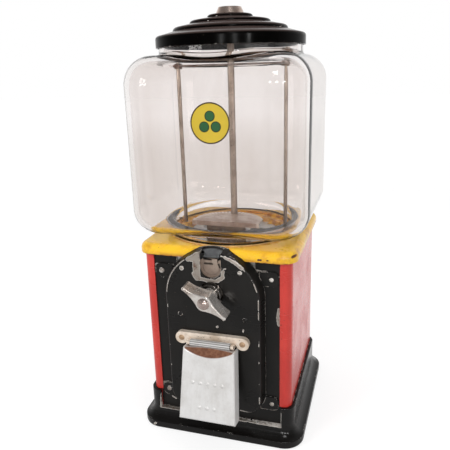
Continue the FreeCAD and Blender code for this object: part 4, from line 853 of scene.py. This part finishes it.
def build_brush(shape):
    """Strip with rows of fine tapered bristles."""
    draw = random.Random(bristle_seed)
    strip_bottom = brush_high.z - bristle_strip
    size = Vector((brush_high.x - brush_low.x, brush_high.y - brush_low.y, bristle_strip))
    middle = (brush_low + brush_high) / 2
    middle.z = strip_bottom + bristle_strip / 2
    strip = bmesh.ops.create_cube(shape, size=1.0)["verts"]
    bmesh.ops.scale(shape, vec=size, verts=strip)
    bmesh.ops.translate(shape, vec=middle, verts=strip)
    margin = bristle_width + bristle_spread
    width = brush_high.x - brush_low.x - 2 * margin
    depth = brush_high.y - brush_low.y - 2 * margin
    for row in range(bristle_rows):
        y = brush_low.y + margin + depth * row / (bristle_rows - 1)
        for column in range(bristle_columns):
            x = brush_low.x + margin + width * column / (bristle_columns - 1)
            lean_x = draw.uniform(-bristle_spread, bristle_spread)
            lean_y = draw.uniform(-bristle_spread, bristle_spread)
            tip_z = brush_low.z + draw.uniform(0.0, bristle_spread)
            root = (x, y, strip_bottom, bristle_width / 2)
            tip = (x + lean_x, y + lean_y, tip_z, bristle_width / 4)
            rings = []
            for at_x, at_y, at_z, half in (root, tip):
                corners = ((-half, -half), (half, -half), (half, half), (-half, half))
                rings.append([shape.verts.new((at_x + a, at_y + b, at_z)) for a, b in corners])
            shape.faces.new(rings[0])
            shape.faces.new(list(reversed(rings[1])))
            for i in range(4):
                after = (i + 1) % 4
                shape.faces.new((rings[0][i], rings[0][after], rings[1][after], rings[1][i]))


brush = solid("brush_bristles", build_brush, "bristle", "cabinet")
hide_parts("sweep_brush")


# Floor, world and lamps
def make_floor():
    """Pale floor that glows where it is seen, less through glass and in reflections, and keeps the shadow."""
    made, tree, place = new_tree("studio_floor")
    path = add(tree, "LightPath").outputs
    distance = reach(tree, place)
    mirrored = fade(tree, coordinate(tree, place, "Y"), *floor_mirror_reach, *floor_mirror)
    mirrored = calc(tree, "MULTIPLY", path["Is Glossy Ray"], mirrored)
    through = fade(tree, distance, *floor_through_reach, *floor_through)
    strength = blend(tree, path["Is Transmission Ray"], mirrored, through)
    shown = fade(tree, distance, *floor_glow_reach, *floor_glow)
    strength = blend(tree, path["Is Camera Ray"], strength, shown)
    warm = fade(tree, distance, *floor_through_reach, 1.0, 0.0)
    warm = calc(tree, "MULTIPLY", warm, path["Is Transmission Ray"])
    tone = mix(tree, warm, WHITE, floor_through_colour)
    glow = add(tree, "Emission", {"Color": tone, "Strength": strength})
    plain = add(tree, "BsdfDiffuse", {"Color": floor_colour})
    both = add(tree, "AddShader", {0: glow.outputs[0], 1: plain.outputs[0]})
    add(tree, "OutputMaterial", {"Surface": both.outputs[0]})
    mesh = bpy.data.meshes.new("studio_floor")
    level = cad_low.z - floor_drop
    signs = [(-1, -1), (1, -1), (1, 1), (-1, 1)]
    mesh.from_pydata([(floor_half * x, floor_half * y, level) for x, y in signs], [], [(0, 1, 2, 3)])
    mesh.materials.append(made)
    floor = bpy.data.objects.new("studio_floor", mesh)
    bpy.context.scene.collection.objects.link(floor)


def make_world():
    """White where it is seen, plain for dull surfaces; mirrored, pale behind, dark in front and overhead."""
    world = bpy.data.worlds.new("studio")
    world.use_nodes = True
    tree = world.node_tree
    tree.nodes.clear()
    path = add(tree, "LightPath").outputs
    seen = calc(tree, "MAXIMUM", path["Is Camera Ray"], path["Is Transmission Ray"])
    direction = add(tree, "SeparateXYZ", {0: add(tree, "TexCoord").outputs["Generated"]}).outputs
    around = fade(tree, direction["Y"], *mirror_turn, *mirror_level)
    mirrored = calc(tree, "MULTIPLY", around, fade(tree, direction["Z"], *mirror_rise, *mirror_overhead))
    strength = blend(tree, seen, blend(tree, path["Is Glossy Ray"], ambient, mirrored), 1.0)
    sky = add(tree, "Background", {"Color": WHITE, "Strength": strength})
    add(tree, "OutputWorld", {"Surface": sky.outputs[0]})
    bpy.context.scene.world = world


def make_lamp(name, spot, size, power, mirrored=True, lit=True):
    """Square soft lamp that polished surfaces may mirror and dull ones may be lit by."""
    data = bpy.data.lights.new(name, "AREA")
    data.size = size
    data.energy = power
    lamp = bpy.data.objects.new(name, data)
    lamp.location = spot
    lamp.visible_glossy = mirrored
    lamp.visible_diffuse = lit
    lamp.rotation_euler = (Vector(lamp_aim) - Vector(spot)).to_track_quat("-Z", "Y").to_euler()
    bpy.context.scene.collection.objects.link(lamp)


def make_camera():
    """Camera at the place found from the photograph's outlines."""
    a, e, r = camera_azimuth, camera_elevation, camera_roll
    back = Vector((math.sin(a) * math.cos(e), -math.cos(a) * math.cos(e), math.sin(e)))
    right = Vector((math.cos(a), math.sin(a), 0.0))
    up = back.cross(right)
    turned_right = right * math.cos(r) - up * math.sin(r)
    turned_up = right * math.sin(r) + up * math.cos(r)
    data = bpy.data.cameras.new("photo_camera")
    data.lens = camera_lens
    data.sensor_width = camera_sensor
    data.clip_start = camera_near
    camera = bpy.data.objects.new("photo_camera", data)
    aim = right * camera_aim_side + Vector((0.0, 0.0, camera_aim_height))
    placed = Matrix((turned_right, turned_up, back)).transposed().to_4x4()
    placed.translation = aim + back * camera_distance
    camera.matrix_world = placed
    bpy.context.scene.collection.objects.link(camera)
    bpy.context.scene.camera = camera


make_floor()
make_world()
make_lamp("key_lamp", key_place, key_size, key_power, mirrored=False)
make_lamp("fill_lamp", fill_place, fill_size, fill_power, mirrored=False)
make_lamp("top_lamp", top_place, top_size, top_power, mirrored=False)
make_lamp("glint_lamp", glint_place, glint_size, glint_power)
for number, turn in enumerate(strip_turns):
    across = strip_distance * math.sin(math.radians(turn))
    ahead = strip_distance * math.cos(math.radians(turn))
    strip_place = (across, -ahead, strip_height)
    make_lamp(f"strip_lamp_{number}", strip_place, strip_size, strip_power, lit=False)
make_camera()
bpy.context.scene.view_settings.view_transform = "Standard"
